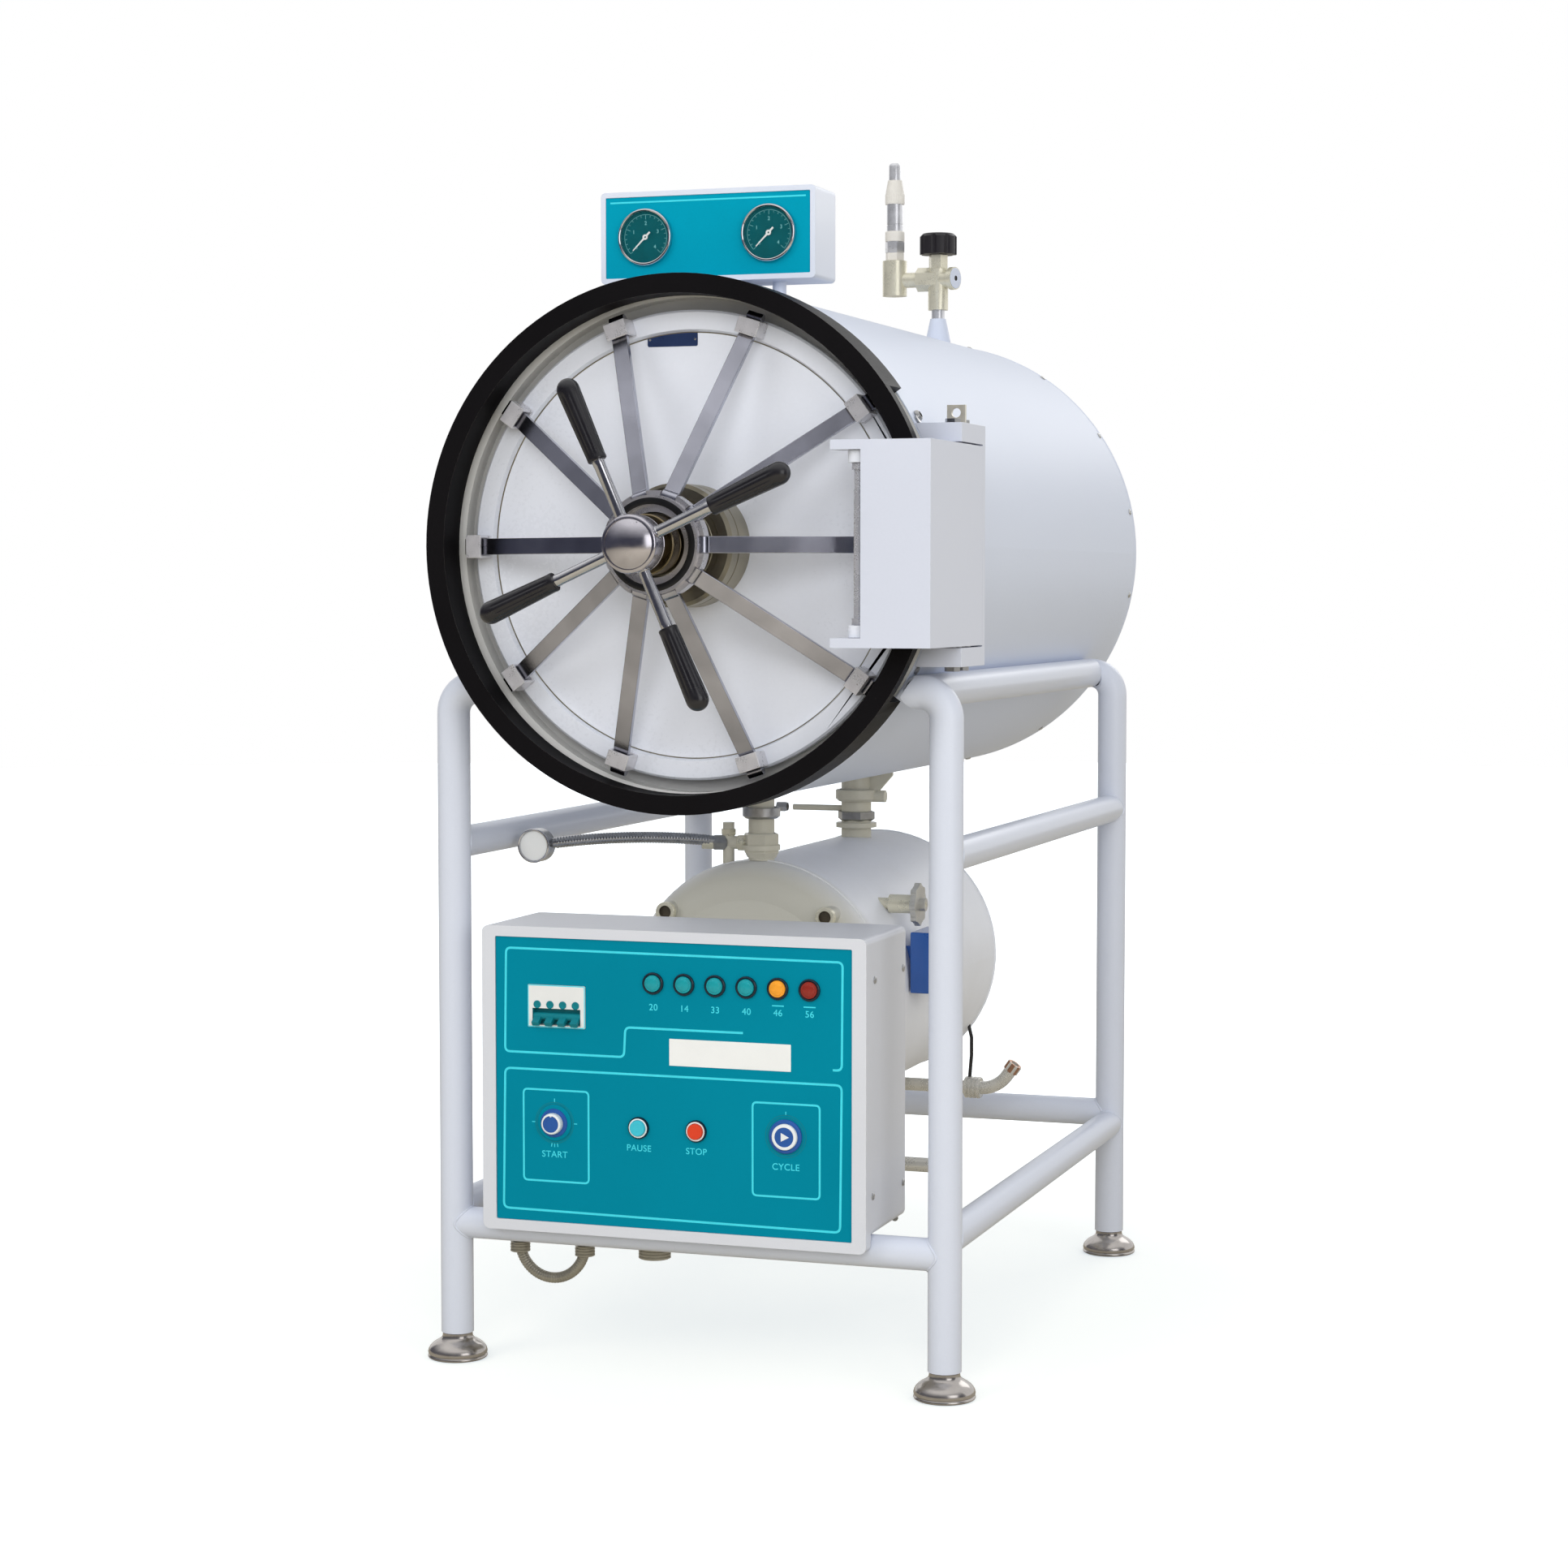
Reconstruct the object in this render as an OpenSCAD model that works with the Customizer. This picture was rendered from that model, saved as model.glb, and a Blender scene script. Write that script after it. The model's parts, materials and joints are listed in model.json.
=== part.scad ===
// Horizontal autoclave on a tubular stand, with a radial-bar door and an electric steam generator.
// Millimetres. X runs to the right, Y to the back and Z up. The origin lies on the floor, in the
// middle of the four legs, and the vessel's axis runs along Y.

/* [Stand] */
// Distance between the left and right leg centres
leg_spacing_x = 680; // [670:2:700]
// Distance between the front and rear leg centres
leg_spacing_y = 934; // [910:2:950]
// Outside diameter of the stand's bent tubes
tube_d = 43.6; // [42.4:0.2:46]
// Wall of the stand's tubes
tube_wall = 2.5; // [2:0.1:3.5]
// Outside diameter of the straight rails between the legs
rail_d = 42; // [36:0.5:42]
// Height of the front rail's centre
front_rail_z = 184; // [180:1:186]
// Height of the lower side rails' centre
side_rail_z = 203; // [190:1:240]
// Height of the rear rail's centre
rear_rail_z = 219; // [190:1:230]
// Height of the upper side rails' centre
upper_rail_z = 693; // [680:1:720]
// Height of a levelling foot
foot_h = 35; // [32:1:40]
// Diameter of a levelling foot
foot_d = 80; // [70:1:84]

/* [Vessel] */
// Height of the vessel's axis above the floor
axis_z = 1086; // [1080:1:1100]
// Inside diameter of the chamber
chamber_d = 500; // [490:2:504]
// Wall of the chamber
chamber_wall = 6; // [5:0.5:8]
// Inside length of the chamber, from its mouth to the crown of its rear head
chamber_l = 1066; // [1000:2:1080]
// Outside diameter of the painted casing
casing_d = 671; // [668:1:674]
// Wall of the casing
casing_wall = 1.5; // [1.2:0.1:2.5]
// Distance from the middle of the stand to the back of the casing
casing_back = 706; // [700:2:730]
// Distance from the middle of the stand to the front of the lock ring
ring_front = 542; // [535:1:550]
// Height of the lock ring above the casing
ring_step = 7.5; // [6:0.5:9.5]
// Inside diameter of the lock ring's lip
lip_d = 636; // [634:1:637]
// Depth of the lock ring that shows in front of the casing
ring_depth = 70; // [66:1:76]

/* [Door] */
// Diameter of the door's rim
door_d = 604; // [600:1:606]
// Thickness of the door's rim
rim_t = 16; // [14:1:18]
// Number of locking bars
bar_count = 10;
// Width of a locking bar
bar_w = 21; // [18:0.5:22]
// Thickness of a locking bar
bar_t = 8; // [6:0.5:9]
// Radial travel of a locking bar's nose
lock_throw = 14; // [12:0.5:15]
// Distance from the vessel's axis to the hinge rod
hinge_x = 262; // [258:1:266]
// Diameter of the hinge rod
rod_d = 12; // [10:0.5:14]
// Diameter of the handwheel's domed hub
hub_d = 73; // [68:1:76]
// Distance from the handwheel's axis to the end of a handle
handle_reach = 222; // [200:1:226]
// Turn of the first handle from the horizontal
handle_angle = 24; // [0:1:89]

/* [Control box] */
// Width of the control box
box_w = 530; // [520:2:540]
// Height of the control box's front
box_h = 403; // [395:1:410]
// Depth of the control box
box_depth = 173; // [165:1:180]
// Distance that the control box sits to the left of the stand's middle
box_offset = 17; // [14:1:20]
// Wall of the control box
box_wall = 2; // [1.5:0.1:3]
// Diameter of a pilot lamp's bezel
lamp_d = 29; // [26:0.5:32]
// Travel of a push button
button_travel = 3.5; // [3:0.5:4]

/* [Gauges] */
// Width of the gauge box
gauge_box_w = 294; // [286:2:300]
// Height of the gauge box
gauge_box_h = 118; // [114:1:124]
// Depth of the gauge box
gauge_box_depth = 85; // [75:1:90]
// Distance between the two gauges
gauge_spacing = 169; // [160:1:176]
// Diameter of a gauge's bezel
gauge_d = 74; // [70:1:78]

/* [Steam generator] */
// Outside diameter of the generator's tank
tank_d = 370; // [360:2:376]
// Wall of the tank
tank_wall = 4; // [3:0.5:6]
// Length of the tank's straight wall
tank_l = 565; // [545:5:575]
// Height of the tank's axis
tank_z = 473; // [468:1:478]
// Diameter of the rear steam column
rear_column_d = 45; // [38:0.5:48]
// Diameter of the front steam column
front_column_d = 36; // [32:0.5:40]

/* [Hidden] */
$fn = 64;
// Running clearance on a radius, and the gap of a face that seats on another
run_gap = 0.05;
seat_gap = 0.3;
// Overrun of every cut
cut = 2;

// Stand
leg_x = leg_spacing_x / 2;
leg_y = leg_spacing_y / 2;
tube_r = tube_d / 2;
rail_r = rail_d / 2;
bend_r = 34;
stud_r = 8;
stud_l = 40;
leg_plug_l = 25;
weld_gap = 0.1;
casing_r = casing_d / 2;
saddle_x = leg_x - bend_r;
saddle_z = axis_z - sqrt(pow(casing_r + tube_r + seat_gap, 2) - saddle_x * saddle_x);
elbow_z = saddle_z - bend_r;
foot_profile_shares = [[0, 0], [0.94, 0], [1, 0.07], [1, 0.24], [0.98, 0.34], [0.93, 0.43],
    [0.86, 0.51], [0.78, 0.59], [0.67, 0.66], [0.59, 0.71], [0.52, 0.79], [0.5, 0.99], [0, 0.99]];

// Vessel
ring_y = -ring_front;
ring_r = casing_r + ring_step;
lip_r = lip_d / 2;
groove_depth = 10;
groove_r = lip_r + groove_depth;
recess = 94;
flange_t = 24;
flange_y = ring_y + recess;
ring_back_y = ring_y + ring_depth;
skirt_step = 12;
skirt_in_r = lip_r + skirt_step;
band_t = 19;
notch_angle = 70;
casing_in_r = casing_r - casing_wall;
casing_back_y = casing_back;
casing_knuckle = 45;
casing_rise = 15;
chamber_r = chamber_d / 2;
chamber_out_r = chamber_r + chamber_wall;
chamber_crown_y = flange_y + chamber_l;
chamber_knuckle = 50;
chamber_rise = 34;
jacket_gap = 18;
jacket_wall = 4;
jacket_r = chamber_out_r + jacket_gap + jacket_wall;
jacket_end_y = chamber_crown_y - chamber_knuckle - chamber_rise;
gasket_w = 10;
gasket_depth = 5;
gasket_proud = 1.7;
gasket_margin = 3;
gasket_r = chamber_r + gasket_margin;
insulation_back_gap = 4;
tray_w = 360;
tray_l = 860;
tray_t = 2;
tray_drop = 150;
tray_slot_w = 12;
tray_slots = 9;

// Door
door_r = door_d / 2;
door_back_y = flange_y - gasket_proud - seat_gap;
plug_t = 12;
plug_step = 36;
plug_r = door_r - plug_step;
rim_back_y = door_back_y - plug_t;
rim_y = rim_back_y - rim_t;
rim_w = 28;
face_step = 8;
face_y = rim_y + face_step;
rim_slope = 3;
boss_r = 79;
boss_h = 71;
boss_y = face_y - boss_h;
boss_edge = 4;
spigot_r = 41;
spigot_l = 58;
spigot_y = boss_y - spigot_l;
spindle_r = 16;

// Locking gear
nose_r = 7;
nose_lift = 13;
nose_y = rim_y - nose_lift;
nose_overhang = 1;
nose_rest_r = door_r + nose_overhang;
lock_gap = 1.5;
lip_back_y = nose_y - nose_r - lock_gap;
pivot_r = 62;
arm_rise = 109;
pivot_y = nose_y - arm_rise;
arm_run = nose_rest_r - pivot_r;
arm_l = sqrt(arm_run * arm_run + arm_rise * arm_rise);
arm_slope = atan(arm_rise / arm_run);
locked_run = arm_run + lock_throw;
sleeve_travel = arm_rise - sqrt(arm_l * arm_l - locked_run * locked_run);
eye_r = 8;
eye_pin_r = 3;
guide_w = 30;
guide_l = 21;
guide_h = 34;
guide_out_r = door_r - rim_slope / 2;
guide_gap = 0.8;
guide_ease = 1.5;
slot_drop = tan(arm_slope) * guide_l;
sleeve_flange_r = 68;
sleeve_flange_t = 18;
slot_floor_r = 52;
collar_r = 62;
collar_in_r = 50;
collar_t = 10;
sleeve_end_gap = 2.2;
sleeve_guide_l = boss_y - pivot_y - sleeve_travel - sleeve_end_gap;

// Hub and handles
hub_r = hub_d / 2;
nut_r = 38;
nut_l = 39;
neck_r = 27;
neck_l = 24;
dome_l = 34;
dome_rise = 9;
hub_gap = 1;
hub_y = spigot_y - hub_gap;
handle_r = 7.5;
grip_l = 108;
grip_r = 12;
grip_end_r = 14.5;
dome_edge_r = 8;

// Hinge
hinge_lead = 48;
hinge_y = ring_y - hinge_lead;
rod_r = rod_d / 2;
post_in_x = 271;
post_w = 89;
post_out_x = post_in_x + post_w;
post_lead = 70;
post_y = ring_y - post_lead;
post_depth = 240;
post_back_y = post_y + post_depth;
post_half_h = 127;
post_plate_t = 12;
post_sheet_t = 2;
tab_x = 232;
tab_depth = 40;
ear_l = 64;
ear_w = 34;
ear_in_x = post_out_x - ear_w;
lug_t = 15;
lug_r = 13;
lug_w = 28;
lug_gap = 0.5;
collar_h = 8;
rod_collar_r = 8.5;
bracket_t = 24;
bracket_gap = 2;
bolt_in = 19;
bolt_x = post_out_x - bolt_in;
bolt_set = 32;
bolt_spacing = 42;
bolt_ys = [post_back_y - bolt_set - bolt_spacing, post_back_y - bolt_set];
web_t = 12;
bolt_r = 6;
bolt_head_h = 6;
bolt_head_share = 1.7;
eye_lug_w = 24;
eye_lug_t = 6;
eye_lug_hole_r = 6;
eye_lug_hole_up = 14;
screw_r = 5.5;
screw_h = 3;
screw_angle = 28;
screw_set = 16;
screw_y = ring_back_y + screw_set;
lug_set = 60;
lug_y = post_back_y - lug_set;

// Gauge box
gauge_x = 10;
gauge_box_y = -442;
gauge_box_z = 1427;
gauge_frame = 7;
gauge_wall = 1.5;
gauge_panel_t = 2;
gauge_r = gauge_d / 2;
gauge_z = gauge_box_z + gauge_box_h / 2;
gauge_cup_depth = 30;
gauge_proud = 8;
gauge_wall_t = 2.5;
dial_depth = 7;
lens_t = 2;
post_foot_r = 9;
needle_hub_r = 3.5;
needle_l = 24;
needle_tail = 9;
needle_w = 2.4;
needle_t = 1;
needle_pin_r = 1.2;
edge_r = 6;
gauge_panel_y = gauge_box_y + gauge_wall;
gauge_rim = 4;
gauge_step = 3;
gauge_cup_r = gauge_r - gauge_step;
zero_angle = 135;

// Relief stack on the casing
stack_x = 21;
stack_y = 600;
stack_base_r = 20;
stack_foot_h = 4;
stack_cone_top_r = 12.5;
stack_cone_z = 1461;
stack_neck_r = 10.5;
stack_block_z = 1475;
stack_block_h = 65;
stack_block_r = 16;
stack_arm_l = 72.5;
stack_arm_r = 12;
stack_arm_z = 1524;
bonnet_r = 15.5;
bonnet_h = 22;
stem_r = 4;
knob_r = 29.5;
knob_h = 33;
knob_gap = 1;
knob_crown = 5;
knob_flutes = 8;
knob_flute_r = 6;
arm_nut_l = 34;
arm_nut_r = 19;
plug_turn = 74;
plug_neck_r = 14;
plug_neck_l = 24;
plug_knob_r = 18;
plug_knob_l = 8;
elbow_r = 19.5;
elbow_drop = 25;
safety_x = stack_x - stack_arm_l;
safety_z = 1555;
safety_top = 1710;
safety_r = 16;
safety_profile_shares = [[0, 0], [0.94, 0], [0.94, 0.08], [1, 0.08], [1, 0.2], [0.97, 0.2],
    [0.97, 0.3], [0.81, 0.3], [0.81, 0.58], [0.98, 0.58], [0.98, 0.68], [0.72, 0.83],
    [0.61, 0.83], [0.61, 1], [0, 1]];

// Control box
box_x = -box_offset - box_w / 2;
box_set_back = 32;
box_front_y = ring_y + box_set_back;
box_lift = 3;
box_z = front_rail_z + box_lift;
fascia_t = 21;
fascia_edge_r = 9;
frame_side = 19;
frame_low = 14;
panel_t = 3;
panel_gap = 0.3;
box_floor_z = front_rail_z + rail_r + seat_gap;
lamp_in = 241;
lamp_x0 = box_x + lamp_in;
lamp_pitch = 42.6;
lamp_up = 335;
lamp_z = box_z + lamp_up;
lamp_r = lamp_d / 2;
lamp_lens_r = 11;
lamp_body_r = 10;
lamp_body_l = 40;
bezel_h = 4;
lens_h = 7;
breaker_in = 105.5;
breaker_x = box_x + breaker_in;
breaker_up = 299;
breaker_z = box_z + breaker_up;
breaker_w = 81;
breaker_h = 56;
breaker_depth = 60;
trough_h = 22;
trough_depth = 12;
toggle_r = 5;
toggle_pin_r = 1.5;
lever_w = 10;
lever_l = 11;
lever_t = 6;
lever_pitch = 18;
lever_drop = 35;
button_up = 145.5;
button_z = box_z + button_up;
start_in = 102;
pause_in = 220.5;
stop_in = 300;
cycle_in = 422;
start_x = box_x + start_in;
pause_x = box_x + pause_in;
stop_x = box_x + stop_in;
cycle_x = box_x + cycle_in;
button_r = 10.5;
button_bezel_r = 14.5;
button_lip = 0.5;
button_proud = button_travel + button_lip;
cycle_r = 17;
cycle_bezel_r = 22;
start_r = 14;
start_bezel_r = 24;
start_knob_h = 14;
shaft_r = 4;
barrel_l = 30;
barrel_wall = 2;
panel_y = box_front_y + box_wall;
breaker_sink = 1;
breaker_y = box_front_y + breaker_sink;
toggle_margin = 14;
toggle_l = breaker_w - toggle_margin;
toggle_pin_l = 4;
toggle_y = breaker_y + trough_depth / 2;
toggle_drop = 14;
toggle_z = breaker_z - toggle_drop;
lens_edge = 3;
pointer_w = 4;
pointer_h = 2;
buttons = [[start_x, shaft_r, start_bezel_r], [pause_x, button_r, button_bezel_r],
    [stop_x, button_r, button_bezel_r], [cycle_x, cycle_r, cycle_bezel_r]];

// Steam generator
tank_r = tank_d / 2;
tank_y = -211;
tank_knuckle = 50;
tank_rise = 28;
column_front_y = -200;
column_rear_y = 235;
column_wall = 3;
flange_ring_t = 7;
tank_boss_r = 13;
tank_boss_x = 115;
tank_boss_z = 116;
heater_r = 6;
heater_pitch = 60;
heater_loop = 36;
heater_l = 420;
heater_flange_r = 62;
heater_flange_t = 10;
gauge_hose_r = 7;
hose_bend = 1000;
hose_drop = 2;
gauge_head_x = -289;
gauge_head_y = -310;
gauge_head_r = 23;
gauge_head_t = 24;
gauge_face_step = 3;
columns = [[column_front_y, front_column_d / 2], [column_rear_y, rear_column_d / 2]];
column_ring_z = 14;
column_ring_w = 8;
tee_z = 681;
tee_l = 48;
tee_r = 9;
cock_r = 8;
cock_drop = 40;
cock_rise = 28;
cock_ball_r = 10;
lever_reach = 100;
lever_r = 4.5;
lever_z = 700;
lever_step = 19;
lever_stub = 46;
gusset_w = 57;
gusset_h = 32;
gusset_t = 8;
port_r = 50;
port_l = 40;
port_proud = 8;
port_y = tank_y + tank_l + tank_knuckle + tank_rise + port_proud;
tank_boss_l = 53;
tank_boss_y = tank_y - tank_boss_l;
controller_gap = 3;
controller_x = tank_r + controller_gap;
controller_y = -112;
controller_z = 470;
controller_w = 42;
controller_l = 82;
controller_h = 85;
controller_plug_r = 9;
controller_plug_l = 14;
level_gap = 3;
level_x = tank_r + level_gap;
level_y = -90;
level_up = 119;
level_z = tank_z + level_up;
level_r = 8;
level_body_l = 36;
level_body_r = 13;
level_stem_l = 16;
level_hub_r = 9;
level_wheel_r = 30;
level_wheel_t = 8;
level_lobe_r = 6;
level_lobes = 8;
pipe_r = 10;
inlet_y = 340;
inlet_z = 268;
inlet_l = 143;
collar_l = 25;
collar_ring = 5;
inlet_bend = 50;
inlet_turn = 55;
inlet_tail = 8;
inlet_nut_l = 14;
inlet_nut_r = 12;
drain_y = -120;
drain_z = 232;
drain_l = 232;
drain_bore_l = 20;
gland_y = -425;
gland_z = 154;
gland_r = 12;
gland_nut_h = 14;
gland_neck_share = 0.8;
conduit_x = -266;
conduit_span = 94;
conduit_r = 6.5;
spare_gland_x = -72;
spare_gland_r = 20;
cable_r = 8;

// A copy mirrored to the side of the stand that the signs sx and sy give
module corner(sx, sy)
    mirror([sx < 0 ? 1 : 0, 0, 0]) mirror([0, sy < 0 ? 1 : 0, 0]) children();

// Turns a shape drawn along Z to run along the vessel's axis, from front to back
module on_axis() translate([0, 0, axis_z]) rotate([-90, 0, 0]) children();

// Turns a piece about the vessel's axis; children are drawn with Z up from that axis
module rotate_about_axis(a) translate([0, 0, axis_z]) rotate([0, -a, 0]) children();

// Half outline of a round shell, closed at y1 by a dished head
module dished(r, y0, y1, knuckle, rise) {
    crown_r = ((r - knuckle) * (r - knuckle) + rise * rise) / (2 * rise);
    knuckle_y = y1 - rise - knuckle;
    translate([0, y0]) square([r, knuckle_y - y0]);
    translate([0, y0]) square([r - knuckle, knuckle_y + knuckle - y0]);
    intersection() {
        translate([r - knuckle, knuckle_y]) circle(knuckle);
        translate([0, y0]) square([r, y1 - y0]);
    }
    intersection() {
        translate([0, y1 - crown_r]) circle(crown_r, $fn = 1440);
        translate([0, y0]) square([r - knuckle, y1 - y0]);
    }
}

module casing_space(gap) on_axis() translate([0, 0, ring_y]) {
    cylinder(h = 2 * ring_front + casing_back, r = casing_r + gap);
    cylinder(h = ring_depth + gap, r = ring_r + gap);
}

// One leg with its elbow and the stub that meets the saddle tube, as a solid bar of radius r
module leg_bar(r, z0) {
    translate([leg_x, leg_y, z0]) cylinder(h = elbow_z - z0, r = r);
    translate([saddle_x, leg_y, elbow_z]) rotate([90, 0, 0])
        rotate_extrude(angle = 90) translate([bend_r, 0]) circle(r);
    translate([saddle_x - tube_r, leg_y, saddle_z]) rotate([0, 90, 0]) cylinder(h = tube_r, r = r);
}

// The half space inside the mitre between an elbow and its saddle tube
module mitre(side) translate([saddle_x, leg_y, saddle_z]) rotate([0, 0, 45])
    translate([side < 0 ? -tube_d : 0, -tube_d, -tube_d]) cube([tube_d, 2 * tube_d, 2 * tube_d]);

module stand_legs() color("whitesmoke") difference() {
    for (sx = [-1, 1], sy = [-1, 1]) corner(sx, sy) difference() {
        leg_bar(tube_r, foot_h);
        leg_bar(tube_r - tube_wall, foot_h + leg_plug_l);
        translate([leg_x, leg_y, foot_h - cut])
            cylinder(h = leg_plug_l + 2 * cut, r = stud_r + run_gap);
        mitre(-1);
    }
    casing_space(weld_gap);
}

module saddle_tube() difference() {
    translate([saddle_x, -leg_y - tube_r, saddle_z]) rotate([-90, 0, 0])
        difference() {
            cylinder(h = leg_spacing_y + tube_d, r = tube_r);
            translate([0, 0, -cut]) cylinder(h = leg_spacing_y + tube_d + 2 * cut, r = tube_r - tube_wall);
        }
    mitre(1);
    mirror([0, 1, 0]) mitre(1);
    casing_space(weld_gap);
}

// A straight rail that starts at p, with its ends cut to seat on the legs
module rail(p, length, turn) difference() {
    translate(p) rotate(turn) difference() {
        cylinder(h = length, r = rail_r);
        translate([0, 0, -cut]) cylinder(h = length + 2 * cut, r = rail_r - tube_wall);
    }
    for (sx = [-1, 1], sy = [-1, 1]) corner(sx, sy)
        translate([leg_x, leg_y, 0]) cylinder(h = axis_z, r = tube_r + weld_gap);
    children();
}
module cross_rail_space(y, z) translate([-leg_x, y, z]) rotate([0, 90, 0])
    cylinder(h = leg_spacing_x, r = rail_r + weld_gap);

module stand_rails() color("whitesmoke") {
    rail([-leg_x, -leg_y, front_rail_z], leg_spacing_x, [0, 90, 0]);
    rail([-leg_x, leg_y, rear_rail_z], leg_spacing_x, [0, 90, 0]);
    for (sx = [-1, 1], z = [side_rail_z, upper_rail_z])
        rail([sx * leg_x, -leg_y, z], leg_spacing_y, [-90, 0, 0]) {
            cross_rail_space(-leg_y, front_rail_z);
            cross_rail_space(leg_y, rear_rail_z);
        }
    for (sx = [-1, 1]) corner(sx, 1) saddle_tube();
}

module foot(sx, sy) color("silver") translate([sx * leg_x, sy * leg_y, 0]) {
    rotate_extrude() polygon([for (s = foot_profile_shares) [s[0] * foot_d / 2, s[1] * foot_h]]);
    translate([0, 0, foot_h / 2]) cylinder(h = foot_h / 2 + stud_l, r = stud_r);
}
module foot_front_left() foot(-1, -1);
module foot_front_right() foot(1, -1);
module foot_rear_left() foot(-1, 1);
module foot_rear_right() foot(1, 1);

// Vessel
module casing() color("white") on_axis() rotate_extrude() difference() {
    dished(casing_r, ring_back_y + seat_gap, casing_back_y, casing_knuckle, casing_rise);
    dished(casing_in_r, ring_back_y - cut, casing_back_y - casing_wall,
        casing_knuckle - casing_wall, casing_rise);
}

module insulation() color("khaki") on_axis() rotate_extrude() difference() {
    dished(casing_in_r - seat_gap, flange_y + flange_t + seat_gap, casing_back_y - insulation_back_gap,
        casing_knuckle - casing_wall, casing_rise);
    translate([0, flange_y]) square([jacket_r + seat_gap, jacket_end_y + jacket_wall + seat_gap - flange_y]);
    dished(chamber_out_r + seat_gap, flange_y, chamber_crown_y + chamber_wall + seat_gap,
        chamber_knuckle + chamber_wall, chamber_rise);
}

module chamber() color("gainsboro") on_axis() rotate_extrude() difference() {
    union() {
        dished(chamber_out_r, flange_y, chamber_crown_y + chamber_wall,
            chamber_knuckle + chamber_wall, chamber_rise);
        translate([0, flange_y]) square([casing_in_r - seat_gap, flange_t]);
        translate([0, flange_y]) square([jacket_r, jacket_end_y + jacket_wall - flange_y]);
    }
    dished(chamber_r, flange_y - cut, chamber_crown_y, chamber_knuckle, chamber_rise);
    translate([chamber_out_r, flange_y + flange_t])
        square([jacket_gap, jacket_end_y - flange_y - flange_t]);
    translate([gasket_r, flange_y - cut]) square([gasket_w, gasket_depth + cut]);
}

module lock_ring() color([0.12, 0.12, 0.13]) on_axis() difference() {
    rotate_extrude() polygon([
        [lip_r, ring_y], [ring_r, ring_y], [ring_r, ring_back_y],
        [casing_in_r - seat_gap, ring_back_y], [casing_in_r - seat_gap, flange_y],
        [lip_r, flange_y], [lip_r, ring_back_y], [groove_r, ring_back_y],
        [groove_r, lip_back_y], [lip_r, lip_back_y]]);
    rotate([0, 0, -notch_angle / 2]) rotate_extrude(angle = notch_angle)
        translate([skirt_in_r, ring_y + band_t]) square([ring_r, ring_depth - band_t + weld_gap]);
}

module door_gasket() color([0.75, 0.3, 0.2]) on_axis() rotate_extrude() union() {
    translate([gasket_r + weld_gap, flange_y - gasket_proud / 2])
        square([gasket_w - 2 * weld_gap, gasket_depth + gasket_proud / 2 - weld_gap]);
    translate([gasket_r + gasket_w / 4, flange_y - gasket_proud])
        square([gasket_w / 2, gasket_depth]);
}

// Perforated tray whose folded sides rest on the chamber's floor
module loading_tray() color("lightgray") difference() {
    union() {
        translate([-tray_w / 2, flange_y + gasket_depth, axis_z - tray_drop]) cube([tray_w, tray_l, tray_t]);
        for (sx = [-1, 1]) corner(sx, 1)
            translate([tray_w / 2 - tray_t, flange_y + gasket_depth, axis_z - chamber_r])
                intersection() {
                    cube([tray_t, tray_l, chamber_r - tray_drop + tray_t]);
                    translate([tray_t - tray_w / 2, -cut, chamber_r]) rotate([-90, 0, 0])
                        cylinder(h = tray_l + 2 * cut, r = chamber_r - seat_gap);
                }
    }
    for (i = [0 : tray_slots - 1])
        translate([(i - (tray_slots - 1) / 2) * tray_w / (tray_slots + 1) - tray_slot_w / 2,
            flange_y + gasket_depth + tray_l / 8, axis_z - tray_drop - cut])
            cube([tray_slot_w, tray_l * 3 / 4, tray_t + 2 * cut]);
}

// Door
module lug_outline() difference() {
    union() {
        translate([hinge_x, hinge_y]) circle(lug_r);
        translate([hinge_x - lug_w / 2, hinge_y]) square([lug_w - 2 * weld_gap, face_y - hinge_y]);
    }
    translate([hinge_x, hinge_y]) circle(rod_r + run_gap);
}

module door_plate() color("gainsboro") {
    on_axis() rotate_extrude() polygon([
        [0, face_y], [door_r - rim_w, face_y], [door_r - rim_w + rim_slope, rim_y],
        [door_r - rim_slope, rim_y], [door_r, rim_y + rim_slope], [door_r, rim_back_y],
        [plug_r, rim_back_y], [plug_r, door_back_y], [0, door_back_y]]);
    for (z = [post_half_h - post_plate_t - lug_gap - lug_t, lug_gap + post_plate_t - post_half_h])
        translate([0, 0, axis_z + z]) linear_extrude(lug_t) lug_outline();
}

// The turn of bar number i about the vessel's axis
function bar_turn(i) = -i * 360 / bar_count;

module guide_block() {
    difference() {
        translate([0, guide_w / 2, 0]) rotate([90, 0, 0])
            linear_extrude(guide_w) translate([guide_out_r - guide_l, rim_y - guide_h])
            square([guide_l, guide_h - weld_gap]);
        translate([0, bar_w / 2 + guide_gap, 0]) rotate([90, 0, 0])
            linear_extrude(bar_w + 2 * guide_gap) polygon([
            [guide_out_r + cut, nose_y + nose_r + guide_gap],
            [guide_out_r - guide_l - cut, nose_y + nose_r + guide_gap],
            [guide_out_r - guide_l - cut, nose_y - nose_r - guide_gap - slot_drop],
            [guide_out_r + cut, nose_y - nose_r - guide_gap - guide_ease]]);
    }
}
module guide_blocks() color("silver") on_axis()
    for (i = [0 : bar_count - 1]) rotate([0, 0, bar_turn(i)]) guide_block();

module door_boss() color([0.36, 0.34, 0.3]) on_axis() rotate_extrude() polygon([
    [spindle_r + run_gap, spigot_y], [spigot_r, spigot_y], [spigot_r, boss_y],
    [boss_r - boss_edge, boss_y], [boss_r, boss_y + boss_edge],
    [boss_r, face_y - weld_gap], [spindle_r + run_gap, face_y - weld_gap]]);

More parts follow.
